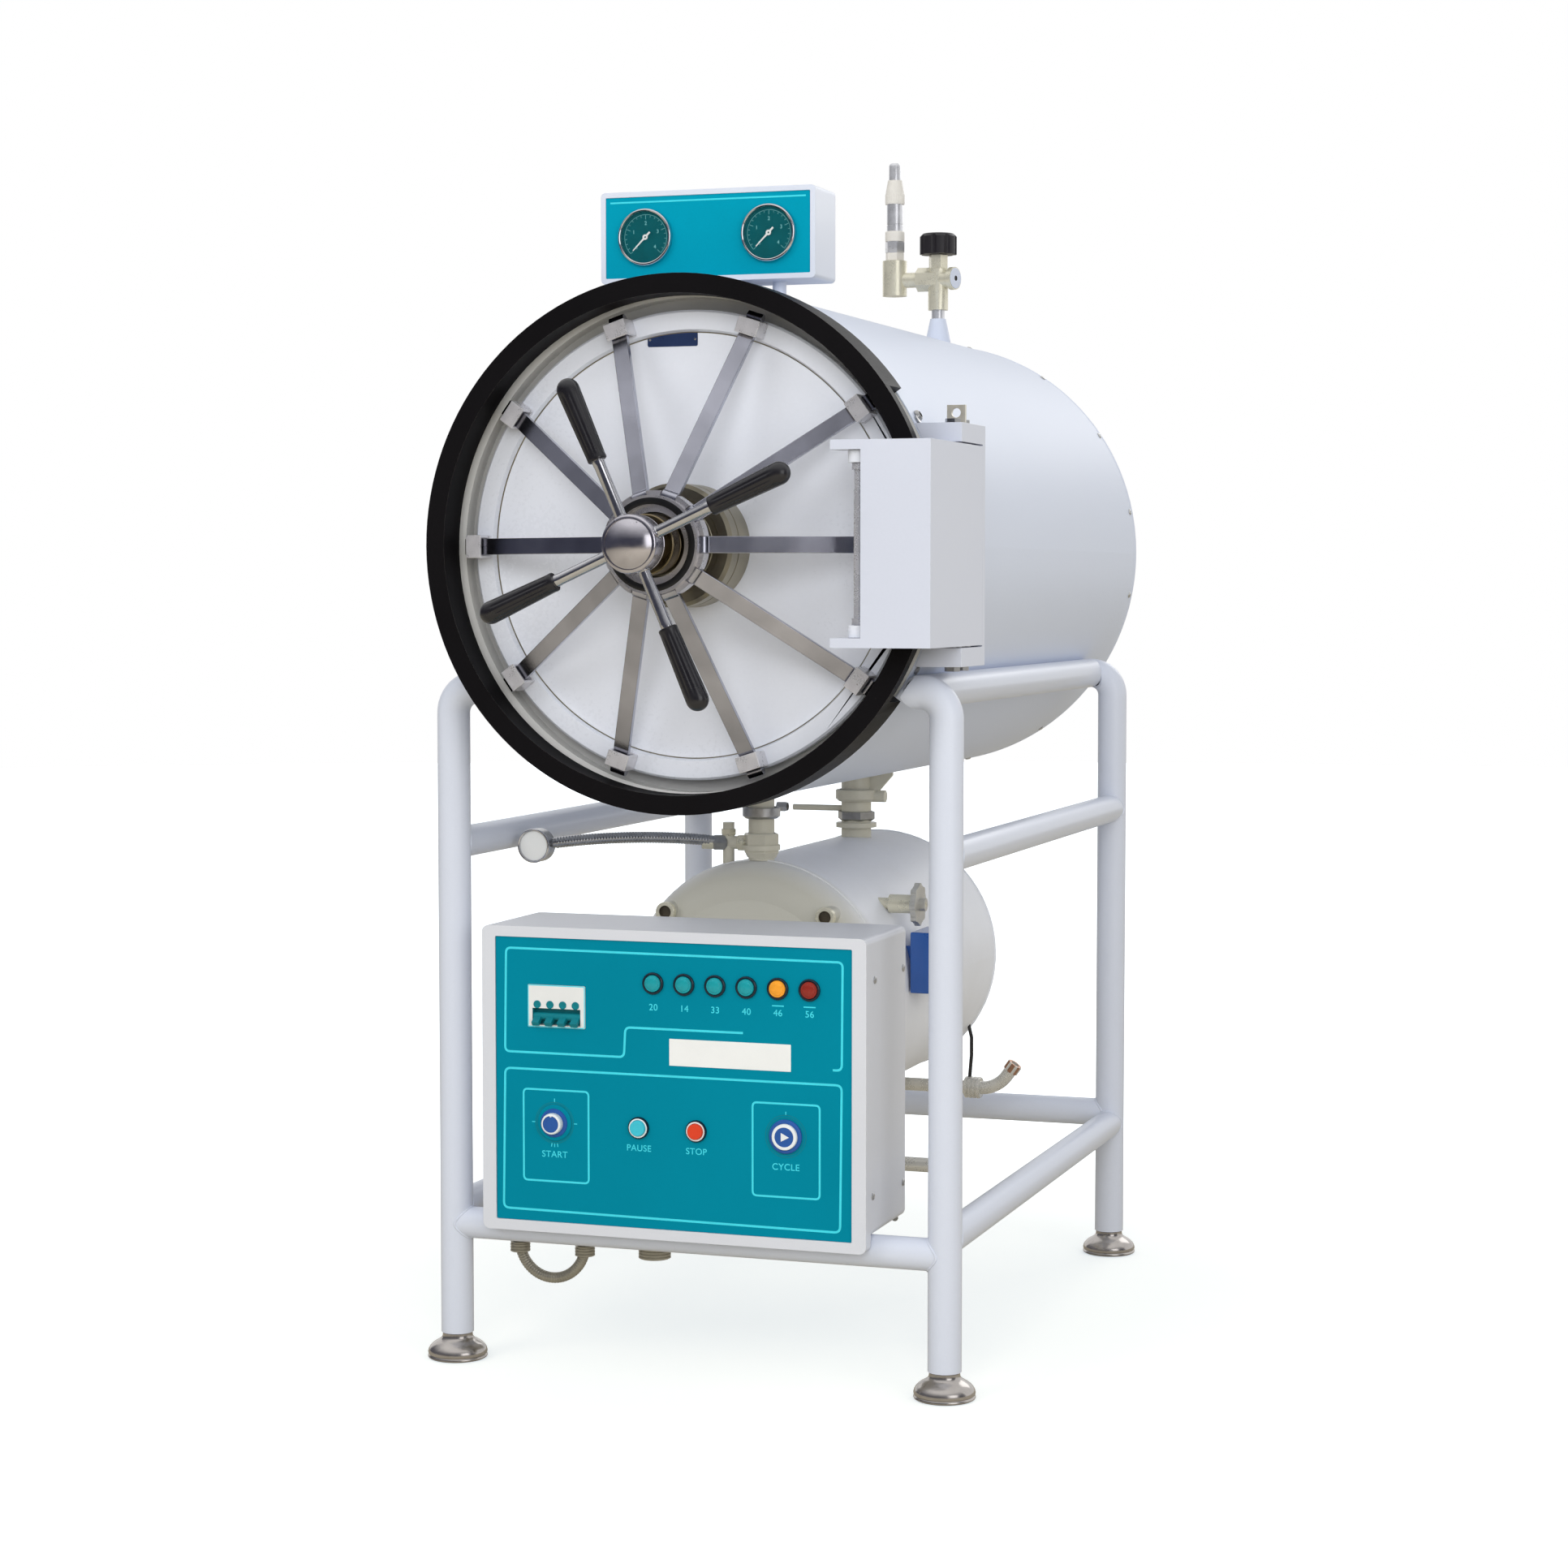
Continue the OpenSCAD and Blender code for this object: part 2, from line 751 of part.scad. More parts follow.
// Spider sleeve that slides on the boss's spigot and carries the bars' inner eyes on ten pins
module lock_sleeve() color("silver") on_axis() {
    difference() {
        rotate_extrude() polygon([
            [spigot_r + run_gap, pivot_y + sleeve_guide_l], [slot_floor_r, pivot_y + sleeve_guide_l],
            [slot_floor_r, pivot_y + sleeve_flange_t / 2],
            [sleeve_flange_r, pivot_y + sleeve_flange_t / 2],
            [sleeve_flange_r, pivot_y - sleeve_flange_t / 2],
            [collar_r, pivot_y - sleeve_flange_t / 2],
            [collar_r, pivot_y - sleeve_flange_t / 2 - collar_t],
            [collar_in_r, pivot_y - sleeve_flange_t / 2 - collar_t],
            [collar_in_r, pivot_y - sleeve_flange_t / 2],
            [spigot_r + run_gap, pivot_y - sleeve_flange_t / 2]]);
        for (i = [0 : bar_count - 1]) rotate([0, 0, bar_turn(i)])
            translate([slot_floor_r, -bar_w / 2 - guide_gap / 2, pivot_y - sleeve_flange_t / 2 - weld_gap])
                cube([sleeve_flange_r, bar_w + guide_gap, sleeve_flange_t + 2 * weld_gap]);
    }
    for (i = [0 : bar_count - 1]) rotate([0, 0, bar_turn(i)])
        translate([pivot_r, guide_w / 2, pivot_y]) rotate([90, 0, 0]) cylinder(h = guide_w, r = eye_pin_r);
}

// One locking bar: an eye on the sleeve's pin, a flat arm, and a round nose in the guide block
module lock_bar(i) color([0.45, 0.47, 0.52]) on_axis() rotate([0, 0, bar_turn(i)])
    translate([pivot_r, bar_w / 2, pivot_y]) rotate([90, 0, 0]) linear_extrude(bar_w)
        rotate(arm_slope) difference() {
            union() {
                circle(eye_r);
                translate([0, -bar_t / 2]) square([arm_l, bar_t]);
                translate([arm_l, 0]) circle(nose_r);
            }
            circle(eye_pin_r + run_gap);
        }

// Handwheel
module handle_place(i) translate([0, 0, hub_y - nut_l - neck_l - dome_l / 2])
    rotate([0, 0, -handle_angle - i * 90]) rotate([0, 90, 0]) children();

module handwheel() color("silver") on_axis() {
    rotate_extrude() {
        polygon([
            [0, hub_y + spigot_l + boss_h / 2], [spindle_r, hub_y + spigot_l + boss_h / 2],
            [spindle_r, hub_y], [nut_r, hub_y], [nut_r, hub_y - nut_l], [neck_r, hub_y - nut_l],
            [neck_r, hub_y - nut_l - neck_l], [hub_r, hub_y - nut_l - neck_l],
            [hub_r, hub_y - nut_l - neck_l - dome_l + dome_edge_r],
            [hub_r - dome_edge_r, hub_y - nut_l - neck_l - dome_l + dome_edge_r],
            [0, hub_y - nut_l - neck_l - dome_l + dome_edge_r]]);
        intersection() {
            translate([hub_r - dome_edge_r, hub_y - nut_l - neck_l - dome_l + dome_edge_r])
                circle(dome_edge_r);
            translate([0, hub_y - nut_l - neck_l - dome_l]) square([hub_r, dome_l]);
        }
        translate([0, hub_y - nut_l - neck_l - dome_l]) square([hub_r - dome_edge_r, dome_l]);
        intersection() {
            dome_r = (pow(hub_r - dome_edge_r, 2) + dome_rise * dome_rise) / (2 * dome_rise);
            translate([0, hub_y - nut_l - neck_l - dome_l - dome_rise + dome_r]) circle(dome_r, $fn = 180);
            translate([0, hub_y - nut_l - neck_l - dome_l - dome_rise])
                square([hub_r - dome_edge_r, dome_rise + dome_l]);
        }
    }
    for (i = [0 : 3]) handle_place(i) cylinder(h = handle_reach - grip_end_r, r = handle_r);
}

module handwheel_grips() color([0.15, 0.15, 0.17]) on_axis() for (i = [0 : 3]) handle_place(i)
    difference() {
        union() {
            translate([0, 0, handle_reach - grip_l])
                cylinder(h = grip_l - grip_end_r, r1 = grip_r, r2 = grip_end_r);
            translate([0, 0, handle_reach - grip_end_r]) sphere(grip_end_r);
        }
        translate([0, 0, handle_reach - grip_l - cut])
            cylinder(h = grip_l - grip_end_r + cut + run_gap, r = handle_r + run_gap);
    }

// Hinge
module post_outline() difference() {
    union() {
        translate([tab_x, post_y]) square([post_out_x - tab_x, ear_l]);
        translate([ear_in_x, post_y]) square([post_out_x - ear_in_x, post_depth]);
    }
    translate([tab_x - cut, post_y + tab_depth])
        square([post_in_x - tab_x + cut, ear_l]);
    translate([hinge_x, hinge_y]) circle(rod_r + run_gap);
    for (y = bolt_ys) translate([bolt_x, y]) circle(bolt_r + run_gap);
}
module hinge_post() color("white") {
    for (z = [-post_half_h, post_half_h - post_plate_t])
        translate([0, 0, axis_z + z]) linear_extrude(post_plate_t) post_outline();
    translate([post_out_x - post_sheet_t, post_y, axis_z - post_half_h + post_plate_t])
        cube([post_sheet_t, post_depth, 2 * (post_half_h - post_plate_t)]);
    translate([post_in_x, post_y, axis_z - post_half_h + post_plate_t])
        cube([post_w, post_sheet_t, 2 * (post_half_h - post_plate_t)]);
}

module hinge_rod() color("silver") translate([hinge_x, hinge_y, axis_z]) {
    translate([0, 0, -post_half_h]) cylinder(h = 2 * post_half_h, r = rod_r);
    for (s = [-1, 1]) mirror([0, 0, s < 0 ? 1 : 0])
        translate([0, 0, post_half_h - post_plate_t - 2 * lug_gap - lug_t - collar_h])
            cylinder(h = collar_h, r = rod_collar_r);
}

module bracket_outline() difference() {
    translate([0, ring_back_y + seat_gap])
        square([post_out_x, post_back_y - ring_back_y + web_t / 2]);
    for (y = bolt_ys) translate([bolt_x, y]) circle(bolt_r + run_gap);
}

module hinge_bracket() color("white") difference() {
    union() {
        for (z = [post_half_h + bracket_gap, -post_half_h - bracket_gap - bracket_t])
            translate([0, 0, axis_z + z]) linear_extrude(bracket_t) bracket_outline();
        translate([0, post_back_y + seat_gap, axis_z - post_half_h - bracket_gap - bracket_t])
            cube([post_out_x, web_t, 2 * (post_half_h + bracket_gap + bracket_t)]);
    }
    casing_space(weld_gap);
    translate([0, ring_y - cut, 0]) cube([casing_r / 2, post_depth, 2 * axis_z]);
}

module hinge_fasteners() color("silver") {
    for (y = bolt_ys, s = [-1, 1]) translate([bolt_x, y, axis_z]) mirror([0, 0, s < 0 ? 1 : 0]) {
        translate([0, 0, post_half_h - post_plate_t])
            cylinder(h = post_plate_t + bracket_gap + bracket_t, r = bolt_r);
        translate([0, 0, post_half_h]) cylinder(h = bracket_gap, r = 2 * bolt_r);
        for (z = [bracket_gap + bracket_t, -post_plate_t - bolt_head_h]) translate([0, 0, post_half_h + z])
            cylinder(h = bolt_head_h, r = bolt_head_share * bolt_r, $fn = 6);
    }
    for (s = [-1, 1]) rotate_about_axis(s * screw_angle)
        translate([casing_r, screw_y, 0]) rotate([0, 90, 0]) cylinder(h = screw_h, r = screw_r);
    translate([bolt_x, lug_y + eye_lug_t, axis_z + post_half_h + bracket_gap + bracket_t])
        rotate([90, 0, 0]) linear_extrude(eye_lug_t) difference() {
            translate([-eye_lug_w / 2, 0]) square(eye_lug_w);
            translate([0, eye_lug_hole_up]) circle(eye_lug_hole_r);
        }
}

// Gauge box
module rounded(w, h, r) {
    translate([r, 0]) square([w - 2 * r, h]);
    translate([0, r]) square([w, h - 2 * r]);
    for (x = [r, w - r], y = [r, h - r]) translate([x, y]) circle(r);
}

// A rounded plate that stands upright: p is its front lower left corner, t its depth towards the back
module slab(p, w, h, r, t) translate([p[0], p[1] + t, p[2]]) rotate([90, 0, 0])
    linear_extrude(t) rounded(w, h, r);

// Turns a shape drawn along Z to run from the front to the back at p
module facing(p) translate(p) rotate([-90, 0, 0]) children();

module gauge_box() color("white") {
    x = gauge_x - gauge_box_w / 2;
    difference() {
        slab([x, gauge_box_y, gauge_box_z], gauge_box_w, gauge_box_h, edge_r, gauge_box_depth);
        slab([x + gauge_wall, gauge_box_y + gauge_wall, gauge_box_z + gauge_wall],
            gauge_box_w - 2 * gauge_wall, gauge_box_h - 2 * gauge_wall, edge_r - gauge_wall,
            gauge_box_depth - 2 * gauge_wall);
        slab([x + gauge_frame, gauge_box_y - cut, gauge_box_z + gauge_frame],
            gauge_box_w - 2 * gauge_frame, gauge_box_h - 2 * gauge_frame, gauge_wall, 2 * cut);
    }
    difference() {
        for (s = [-1, 1])
            translate([gauge_x + s * gauge_spacing / 2, gauge_box_y + gauge_box_depth / 2, axis_z])
            cylinder(h = gauge_box_z - axis_z, r = post_foot_r);
        casing_space(weld_gap);
    }
}

module gauge_panel() color([0, 0.6, 0.71]) difference() {
    slab([gauge_x - gauge_box_w / 2 + 2 * gauge_wall, gauge_panel_y, gauge_box_z + 2 * gauge_wall],
        gauge_box_w - 4 * gauge_wall, gauge_box_h - 4 * gauge_wall, edge_r - 2 * gauge_wall,
        gauge_panel_t);
    for (s = [-1, 1]) facing([gauge_x + s * gauge_spacing / 2, gauge_panel_y - cut, gauge_z])
        cylinder(h = gauge_panel_t + 2 * cut, r = gauge_cup_r + seat_gap);
}

module gauge_cases() color("silver")
    for (s = [-1, 1]) facing([gauge_x + s * gauge_spacing / 2, gauge_panel_y, gauge_z]) {
        rotate_extrude() polygon([
            [0, dial_depth - gauge_proud], [gauge_r - gauge_rim, dial_depth - gauge_proud],
            [gauge_r - gauge_rim, -gauge_proud], [gauge_r, -gauge_proud], [gauge_r, 0],
            [gauge_cup_r, 0], [gauge_cup_r, gauge_cup_depth], [0, gauge_cup_depth]]);
        translate([0, 0, -gauge_proud + 2 * lens_t]) cylinder(h = dial_depth - 2 * lens_t, r = needle_pin_r);
    }

// A gauge needle at zero, pointing down to the left
module needle(s) color("white") facing([gauge_x + s * gauge_spacing / 2, gauge_panel_y, gauge_z])
    translate([0, 0, -gauge_proud + 2 * lens_t + needle_t / 2]) rotate([0, 0, zero_angle])
    linear_extrude(needle_t) difference() {
        union() {
            circle(needle_hub_r);
            polygon([[-needle_tail, -needle_w / 2], [0, -needle_w / 2], [needle_l, -needle_w / 4],
                [needle_l, needle_w / 4], [0, needle_w / 2], [-needle_tail, needle_w / 2]]);
        }
        circle(needle_pin_r + run_gap);
    }

module gauge_lenses() color([0.8, 0.9, 0.95, 0.4])
    for (s = [-1, 1])
        facing([gauge_x + s * gauge_spacing / 2, gauge_panel_y - gauge_proud + seat_gap, gauge_z])
        cylinder(h = lens_t, r = gauge_r - gauge_rim - run_gap);

// Relief stack on top of the casing
module vent_valve() color([0.88, 0.86, 0.76]) {
    difference() {
        translate([stack_x, stack_y, axis_z]) {
            cylinder(h = casing_r + stack_foot_h, r = stack_base_r);
            translate([0, 0, casing_r + stack_foot_h])
                cylinder(h = stack_cone_z - axis_z - casing_r - stack_foot_h, r1 = stack_base_r,
                r2 = stack_cone_top_r);
        }
        casing_space(weld_gap);
    }
    translate([stack_x, stack_y, stack_cone_z])
        cylinder(h = stack_block_z - stack_cone_z, r = stack_neck_r);
    translate([stack_x, stack_y, stack_block_z]) {
        cylinder(h = stack_block_h, r = stack_block_r);
        translate([0, 0, stack_block_h]) {
            cylinder(h = bonnet_h, r = bonnet_r, $fn = 6);
            cylinder(h = bonnet_h + knob_gap + knob_h * 2 / 3, r = stem_r);
        }
    }
    translate([stack_x, stack_y, stack_arm_z]) {
        rotate([0, -90, 0]) cylinder(h = stack_arm_l, r = stack_arm_r);
        rotate([0, -90, 0]) cylinder(h = arm_nut_l, r = arm_nut_r, $fn = 6);
        rotate([90, 0, plug_turn]) {
            cylinder(h = plug_neck_l, r = plug_neck_r);
            translate([0, 0, plug_neck_l]) cylinder(h = plug_knob_l, r = plug_knob_r);
        }
    }
    translate([safety_x, stack_y, stack_arm_z - elbow_drop])
        cylinder(h = safety_z - stack_arm_z + elbow_drop, r = elbow_r);
}

module vent_knob() color([0.2, 0.2, 0.22])
    translate([stack_x, stack_y, stack_block_z + stack_block_h + bonnet_h + knob_gap]) difference() {
        union() {
            cylinder(h = knob_h - knob_crown, r = knob_r);
            translate([0, 0, knob_h - knob_crown])
                cylinder(h = knob_crown, r1 = knob_r, r2 = knob_r - knob_crown);
        }
        translate([0, 0, -cut])
            cylinder(h = knob_h * 2 / 3 + run_gap + cut, r = stem_r + run_gap);
        for (i = [0 : knob_flutes - 1]) rotate([0, 0, i * 360 / knob_flutes])
            translate([knob_r + knob_flute_r / 2, 0, -cut])
            cylinder(h = knob_h + 2 * cut, r = knob_flute_r);
    }

module safety_valve() color("silver") translate([safety_x, stack_y, safety_z])
    rotate_extrude() polygon([for (s = safety_profile_shares)
        [s[0] * safety_r, s[1] * (safety_top - safety_z)]]);

// Control box
module control_box() color("gainsboro") difference() {
    union() {
        slab([box_x, box_front_y, box_z], box_w, box_h, fascia_edge_r, fascia_t);
        slab([box_x, box_front_y, box_floor_z], box_w, box_z + box_h - box_floor_z, fascia_edge_r,
            box_depth);
    }
    slab([box_x + box_wall, box_front_y + box_wall, box_floor_z + box_wall],
        box_w - 2 * box_wall, box_z + box_h - box_floor_z - 2 * box_wall,
        fascia_edge_r - box_wall, box_depth - 2 * box_wall);
    slab([box_x + frame_side, box_front_y - cut, box_z + frame_low], box_w - 2 * frame_side,
        box_h - 2 * frame_low, box_wall, box_wall + panel_t + panel_gap + cut);
}

module control_panel() color([0.02, 0.48, 0.57]) difference() {
    slab([box_x + frame_side + panel_gap, panel_y, box_z + frame_low + panel_gap],
        box_w - 2 * frame_side - 2 * panel_gap, box_h - 2 * frame_low - 2 * panel_gap,
        box_wall - panel_gap, panel_t);
    slab([breaker_x - breaker_w / 2 - panel_gap, panel_y - cut, breaker_z - breaker_h / 2 - panel_gap],
        breaker_w + 2 * panel_gap, breaker_h + 2 * panel_gap, box_wall, panel_t + 2 * cut);
    for (i = [0 : 5]) facing([lamp_x0 + i * lamp_pitch, panel_y - cut, lamp_z])
        cylinder(h = panel_t + 2 * cut, r = lamp_body_r + panel_gap);
    for (b = buttons) facing([b[0], panel_y - cut, button_z])
        cylinder(h = panel_t + 2 * cut, r = b[1] + run_gap + barrel_wall + panel_gap);
}

module breaker() color("white") difference() {
    slab([breaker_x - breaker_w / 2, breaker_y, breaker_z - breaker_h / 2],
        breaker_w, breaker_h, box_wall, breaker_depth);
    translate([breaker_x - toggle_l / 2 - panel_gap, breaker_y - cut, toggle_z - trough_h / 2])
        cube([toggle_l + 2 * panel_gap, trough_depth + cut, trough_h]);
    translate([breaker_x - toggle_l / 2 - toggle_pin_l - panel_gap, toggle_y, toggle_z]) rotate([0, 90, 0])
        cylinder(h = toggle_l + 2 * toggle_pin_l + 2 * panel_gap, r = toggle_pin_r + run_gap);
}

// Tie bar with the breaker's four levers, at OFF
module breaker_toggle() color([0.05, 0.45, 0.5]) translate([breaker_x, toggle_y, toggle_z]) {
    translate([-toggle_l / 2, 0, 0]) rotate([0, 90, 0]) cylinder(h = toggle_l, r = toggle_r);
    translate([-toggle_l / 2 - toggle_pin_l, 0, 0]) rotate([0, 90, 0])
        cylinder(h = toggle_l + 2 * toggle_pin_l, r = toggle_pin_r);
    for (i = [0 : 3]) translate([(i - 3 / 2) * lever_pitch - lever_w / 2, 0, 0]) rotate([lever_drop, 0, 0])
        translate([0, -toggle_r - lever_l, -lever_t / 2]) cube([lever_w, toggle_r + lever_l, lever_t]);
}

module lamps() color([0.1, 0.6, 0.6]) for (i = [0 : 5])
    facing([lamp_x0 + i * lamp_pitch, panel_y, lamp_z]) rotate_extrude() {
        translate([0, -bezel_h]) square([lamp_r, bezel_h]);
        square([lamp_body_r, lamp_body_l]);
        translate([0, -lens_h]) square([lamp_lens_r - lens_edge, lens_h]);
        intersection() {
            translate([lamp_lens_r - lens_edge, lens_edge - lens_h]) circle(lens_edge);
            translate([0, -lens_h]) square([lamp_lens_r, lens_h]);
        }
        translate([0, lens_edge - lens_h]) square([lamp_lens_r, lens_h - lens_edge]);
    }

// The four bushes in the panel: the plunger's or shaft's radius is b[1], the bezel's b[2]
module button_bezels() color("silver") for (b = buttons) facing([b[0], panel_y, button_z])
    difference() {
        union() {
            translate([0, 0, -bezel_h]) cylinder(h = bezel_h, r = b[2]);
            cylinder(h = barrel_l, r = b[1] + run_gap + barrel_wall);
        }
        translate([0, 0, -bezel_h - cut]) cylinder(h = bezel_h + barrel_l + 2 * cut, r = b[1] + run_gap);
    }

module button(x, r) facing([x, panel_y - bezel_h - button_proud, button_z])
    cylinder(h = bezel_h + button_proud + barrel_l * 2 / 3, r = r);
module pause_button() color([0.2, 0.75, 0.8]) button(pause_x, button_r);
module stop_button() color([0.85, 0.3, 0.2]) button(stop_x, button_r);
module cycle_button() color([0.2, 0.4, 0.7]) button(cycle_x, cycle_r);

module start_knob() color([0.2, 0.35, 0.65]) facing([start_x, panel_y - bezel_h - seat_gap, button_z]) {
    translate([0, 0, -start_knob_h]) cylinder(h = start_knob_h, r = start_r);
    cylinder(h = barrel_l, r = shaft_r);
    translate([-pointer_w / 2, -start_r, -start_knob_h - pointer_h])
        cube([pointer_w, 2 * start_r - pointer_w, start_knob_h]);
}

// Steam generator
module on_tank() translate([0, 0, tank_z]) rotate([-90, 0, 0]) children();
module tank_outline(r, wall) {
    y1 = tank_y + tank_l + tank_knuckle + tank_rise - wall;
    mid = tank_y + tank_l / 2;
    dished(r, mid, y1, tank_knuckle - wall, tank_rise);
    translate([0, 2 * mid]) mirror([0, 1]) dished(r, mid, y1, tank_knuckle - wall, tank_rise);
}
module tank_space(gap) on_tank() translate([0, 0, tank_y - tank_knuckle])
    cylinder(h = tank_l + 2 * tank_knuckle, r = tank_r + gap);

module steam_generator() color("gainsboro") difference() {
    on_tank() {
        rotate_extrude() tank_outline(tank_r, 0);
        translate([0, 0, port_y - port_l]) cylinder(h = port_l, r = port_r + tank_wall);
        for (s = [-1, 1]) translate([s * tank_boss_x, -tank_boss_z, tank_boss_y])
            cylinder(h = tank_knuckle, r = tank_boss_r);
    }
    on_tank() {
        rotate_extrude() tank_outline(tank_r - tank_wall, tank_wall);
        translate([0, 0, port_y - port_l - cut]) cylinder(h = port_l + 2 * cut, r = port_r);
    }
    for (c = columns) translate([0, c[0], tank_z]) cylinder(h = tank_r + cut, r = c[1] - column_wall);
}

module heaters() color([0.7, 0.55, 0.4]) on_tank() {
    translate([0, 0, port_y]) cylinder(h = heater_flange_t, r = heater_flange_r);
    for (i = [-1 : 1]) translate([0, i * heater_pitch / 2, 0]) {
        for (s = [-1, 1]) translate([s * heater_loop / 2, 0, port_y - heater_l])
            cylinder(h = heater_l, r = heater_r);
        translate([0, 0, port_y - heater_l]) rotate([-90, 0, 0])
            rotate_extrude(angle = 180) translate([heater_loop / 2, 0]) circle(heater_r);
    }
}

// The two standing pipes that carry the tank and take its steam to the vessel
module steam_columns() color([0.85, 0.84, 0.78]) difference() {
    union() {
        for (c = columns) translate([0, c[0], tank_z]) {
            cylinder(h = axis_z - tank_z, r = c[1]);
            translate([0, 0, tank_r + column_ring_z])
                cylinder(h = flange_ring_t, r = c[1] + column_ring_w);
        }
        translate([-tee_l, column_front_y, tee_z]) rotate([0, 90, 0]) cylinder(h = tee_l, r = tee_r);
        translate([-tee_l, column_front_y, tee_z - cock_drop]) {
            cylinder(h = cock_drop + cock_rise, r = cock_r);
            sphere(cock_ball_r);
        }
        translate([-lever_reach, column_rear_y, lever_z]) rotate([0, 90, 0])
            cylinder(h = lever_reach, r = lever_r);
        translate([0, column_rear_y, lever_z + lever_step]) rotate([0, 90, 0])
            cylinder(h = lever_stub, r = 2 * lever_r);
        translate([0, column_rear_y + gusset_t / 2, axis_z - casing_r - gusset_h]) rotate([90, 0, 0])
            linear_extrude(gusset_t) polygon([[0, 0], [gusset_w / 2, 0], [gusset_w, gusset_h],
                [gusset_w, 2 * gusset_h], [0, 2 * gusset_h]]);
    }
    for (c = columns) translate([0, c[0], tank_z]) cylinder(h = axis_z - tank_z, r = c[1] - column_wall);
    casing_space(weld_gap);
    tank_space(weld_gap);
}

module pressure_controller() color([0.19, 0.33, 0.53]) difference() {
    union() {
        translate([controller_x, controller_y, controller_z]) {
            cube([controller_w, controller_l, controller_h]);
            translate([controller_w / 2, controller_l, controller_h / 2]) rotate([-90, 0, 0])
                cylinder(h = controller_plug_l, r = controller_plug_r);
            translate([-controller_w, controller_l / 4, controller_h / 4])
                cube([2 * controller_w, controller_l / 2, controller_h / 2]);
        }
    }
    tank_space(weld_gap);
}

module level_valve() color([0.88, 0.86, 0.78]) difference() {
    union() {
        translate([0, level_y, level_z]) rotate([0, 90, 0])
            cylinder(h = level_x - level_body_l / 2, r = level_r);
        translate([level_x - level_body_l, level_y, level_z]) rotate([0, 90, 0])
            cylinder(h = level_body_l, r = level_body_r);
        translate([level_x, level_y, level_z]) rotate([0, 90, 0]) cylinder(h = level_stem_l, r = shaft_r);
    }
    tank_space(weld_gap);
}

module level_wheel() color([0.6, 0.6, 0.58])
    translate([level_x + seat_gap, level_y, level_z]) rotate([0, 90, 0]) difference() {
        union() {
            cylinder(h = level_wheel_t, r = level_wheel_r - level_lobe_r / 2);
            cylinder(h = level_stem_l, r = level_hub_r);
            for (i = [0 : level_lobes - 1]) rotate([0, 0, i * 360 / level_lobes])
                translate([level_wheel_r - level_lobe_r, 0, 0])
                cylinder(h = level_wheel_t, r = level_lobe_r);
        }
        translate([0, 0, -cut]) cylinder(h = level_stem_l + 2 * cut, r = shaft_r + run_gap);
    }

// The generator's gauge, on a bent flexible pipe from the front column's tee
module boiler_gauge() color([0.75, 0.76, 0.78]) {
    run = [-gauge_head_x - tee_l, column_front_y - gauge_head_y];
    reach = norm(run);
    half_chord = norm([reach, hose_drop]) / 2;
    half_turn = asin(half_chord / hose_bend);
    tilt = atan2(-hose_drop, reach);
    centre_drop = sqrt(hose_bend * hose_bend - half_chord * half_chord);
    difference() {
        translate([-tee_l, column_front_y, tee_z]) rotate([0, 0, 180 + atan2(run[1], run[0])])
            translate([reach / 2 + centre_drop * sin(tilt), 0, -hose_drop / 2 - centre_drop * cos(tilt)])
            rotate([90, 0, 0]) rotate([0, 0, 90 + tilt - half_turn])
            rotate_extrude(angle = 2 * half_turn, $fn = 720)
            translate([hose_bend, 0]) circle(gauge_hose_r, $fn = 24);
        translate([-tee_l, column_front_y, tee_z - cock_drop])
            cylinder(h = cock_drop + cock_rise, r = cock_r + weld_gap);
        facing([gauge_head_x, gauge_head_y - gauge_head_t, tee_z - hose_drop])
            cylinder(h = 2 * gauge_head_t, r = gauge_head_r);
    }
    facing([gauge_head_x, gauge_head_y - gauge_head_t / 2, tee_z - hose_drop])
        rotate_extrude() polygon([[0, gauge_face_step], [gauge_head_r - gauge_wall_t, gauge_face_step],
            [gauge_head_r - gauge_wall_t, 0], [gauge_head_r, 0], [gauge_head_r, gauge_head_t],
            [0, gauge_head_t]]);
}

// Feed pipe at the back and drain pipe at the front, each from a riser under the tank
module water_pipes() color([0.62, 0.61, 0.58]) difference() {
    union() {
        pipe_run(inlet_y, inlet_z, inlet_l);
        translate([inlet_l, inlet_y, inlet_z]) rotate([0, 90, 0])
            cylinder(h = collar_l, r = pipe_r + collar_ring);
        translate([inlet_l + collar_l, inlet_y, inlet_z + inlet_bend])
            rotate([90, 0, 0]) rotate([0, 0, -90])
            rotate_extrude(angle = inlet_turn) translate([inlet_bend, 0]) circle(pipe_r);
        translate([inlet_l + collar_l + inlet_bend * sin(inlet_turn), inlet_y,
            inlet_z + inlet_bend * (1 - cos(inlet_turn))])
            rotate([0, 90 - inlet_turn, 0]) difference() {
                union() {
                    cylinder(h = inlet_tail, r = pipe_r);
                    translate([0, 0, inlet_tail]) cylinder(h = inlet_nut_l, r = inlet_nut_r, $fn = 6);
                }
                translate([0, 0, inlet_tail]) cylinder(h = inlet_nut_l + cut, r = pipe_r - column_wall);
            }
        pipe_run(drain_y, drain_z, drain_l);
    }
    translate([drain_l - drain_bore_l, drain_y, drain_z]) rotate([0, 90, 0])
        cylinder(h = drain_bore_l + cut, r = pipe_r - column_wall);
    tank_space(weld_gap);
}
module pipe_run(y, z, l) {
    translate([0, y, z]) cylinder(h = tank_z - z, r = pipe_r);
    translate([0, y, z]) sphere(pipe_r);
    translate([0, y, z]) rotate([0, 90, 0]) cylinder(h = l, r = pipe_r);
}

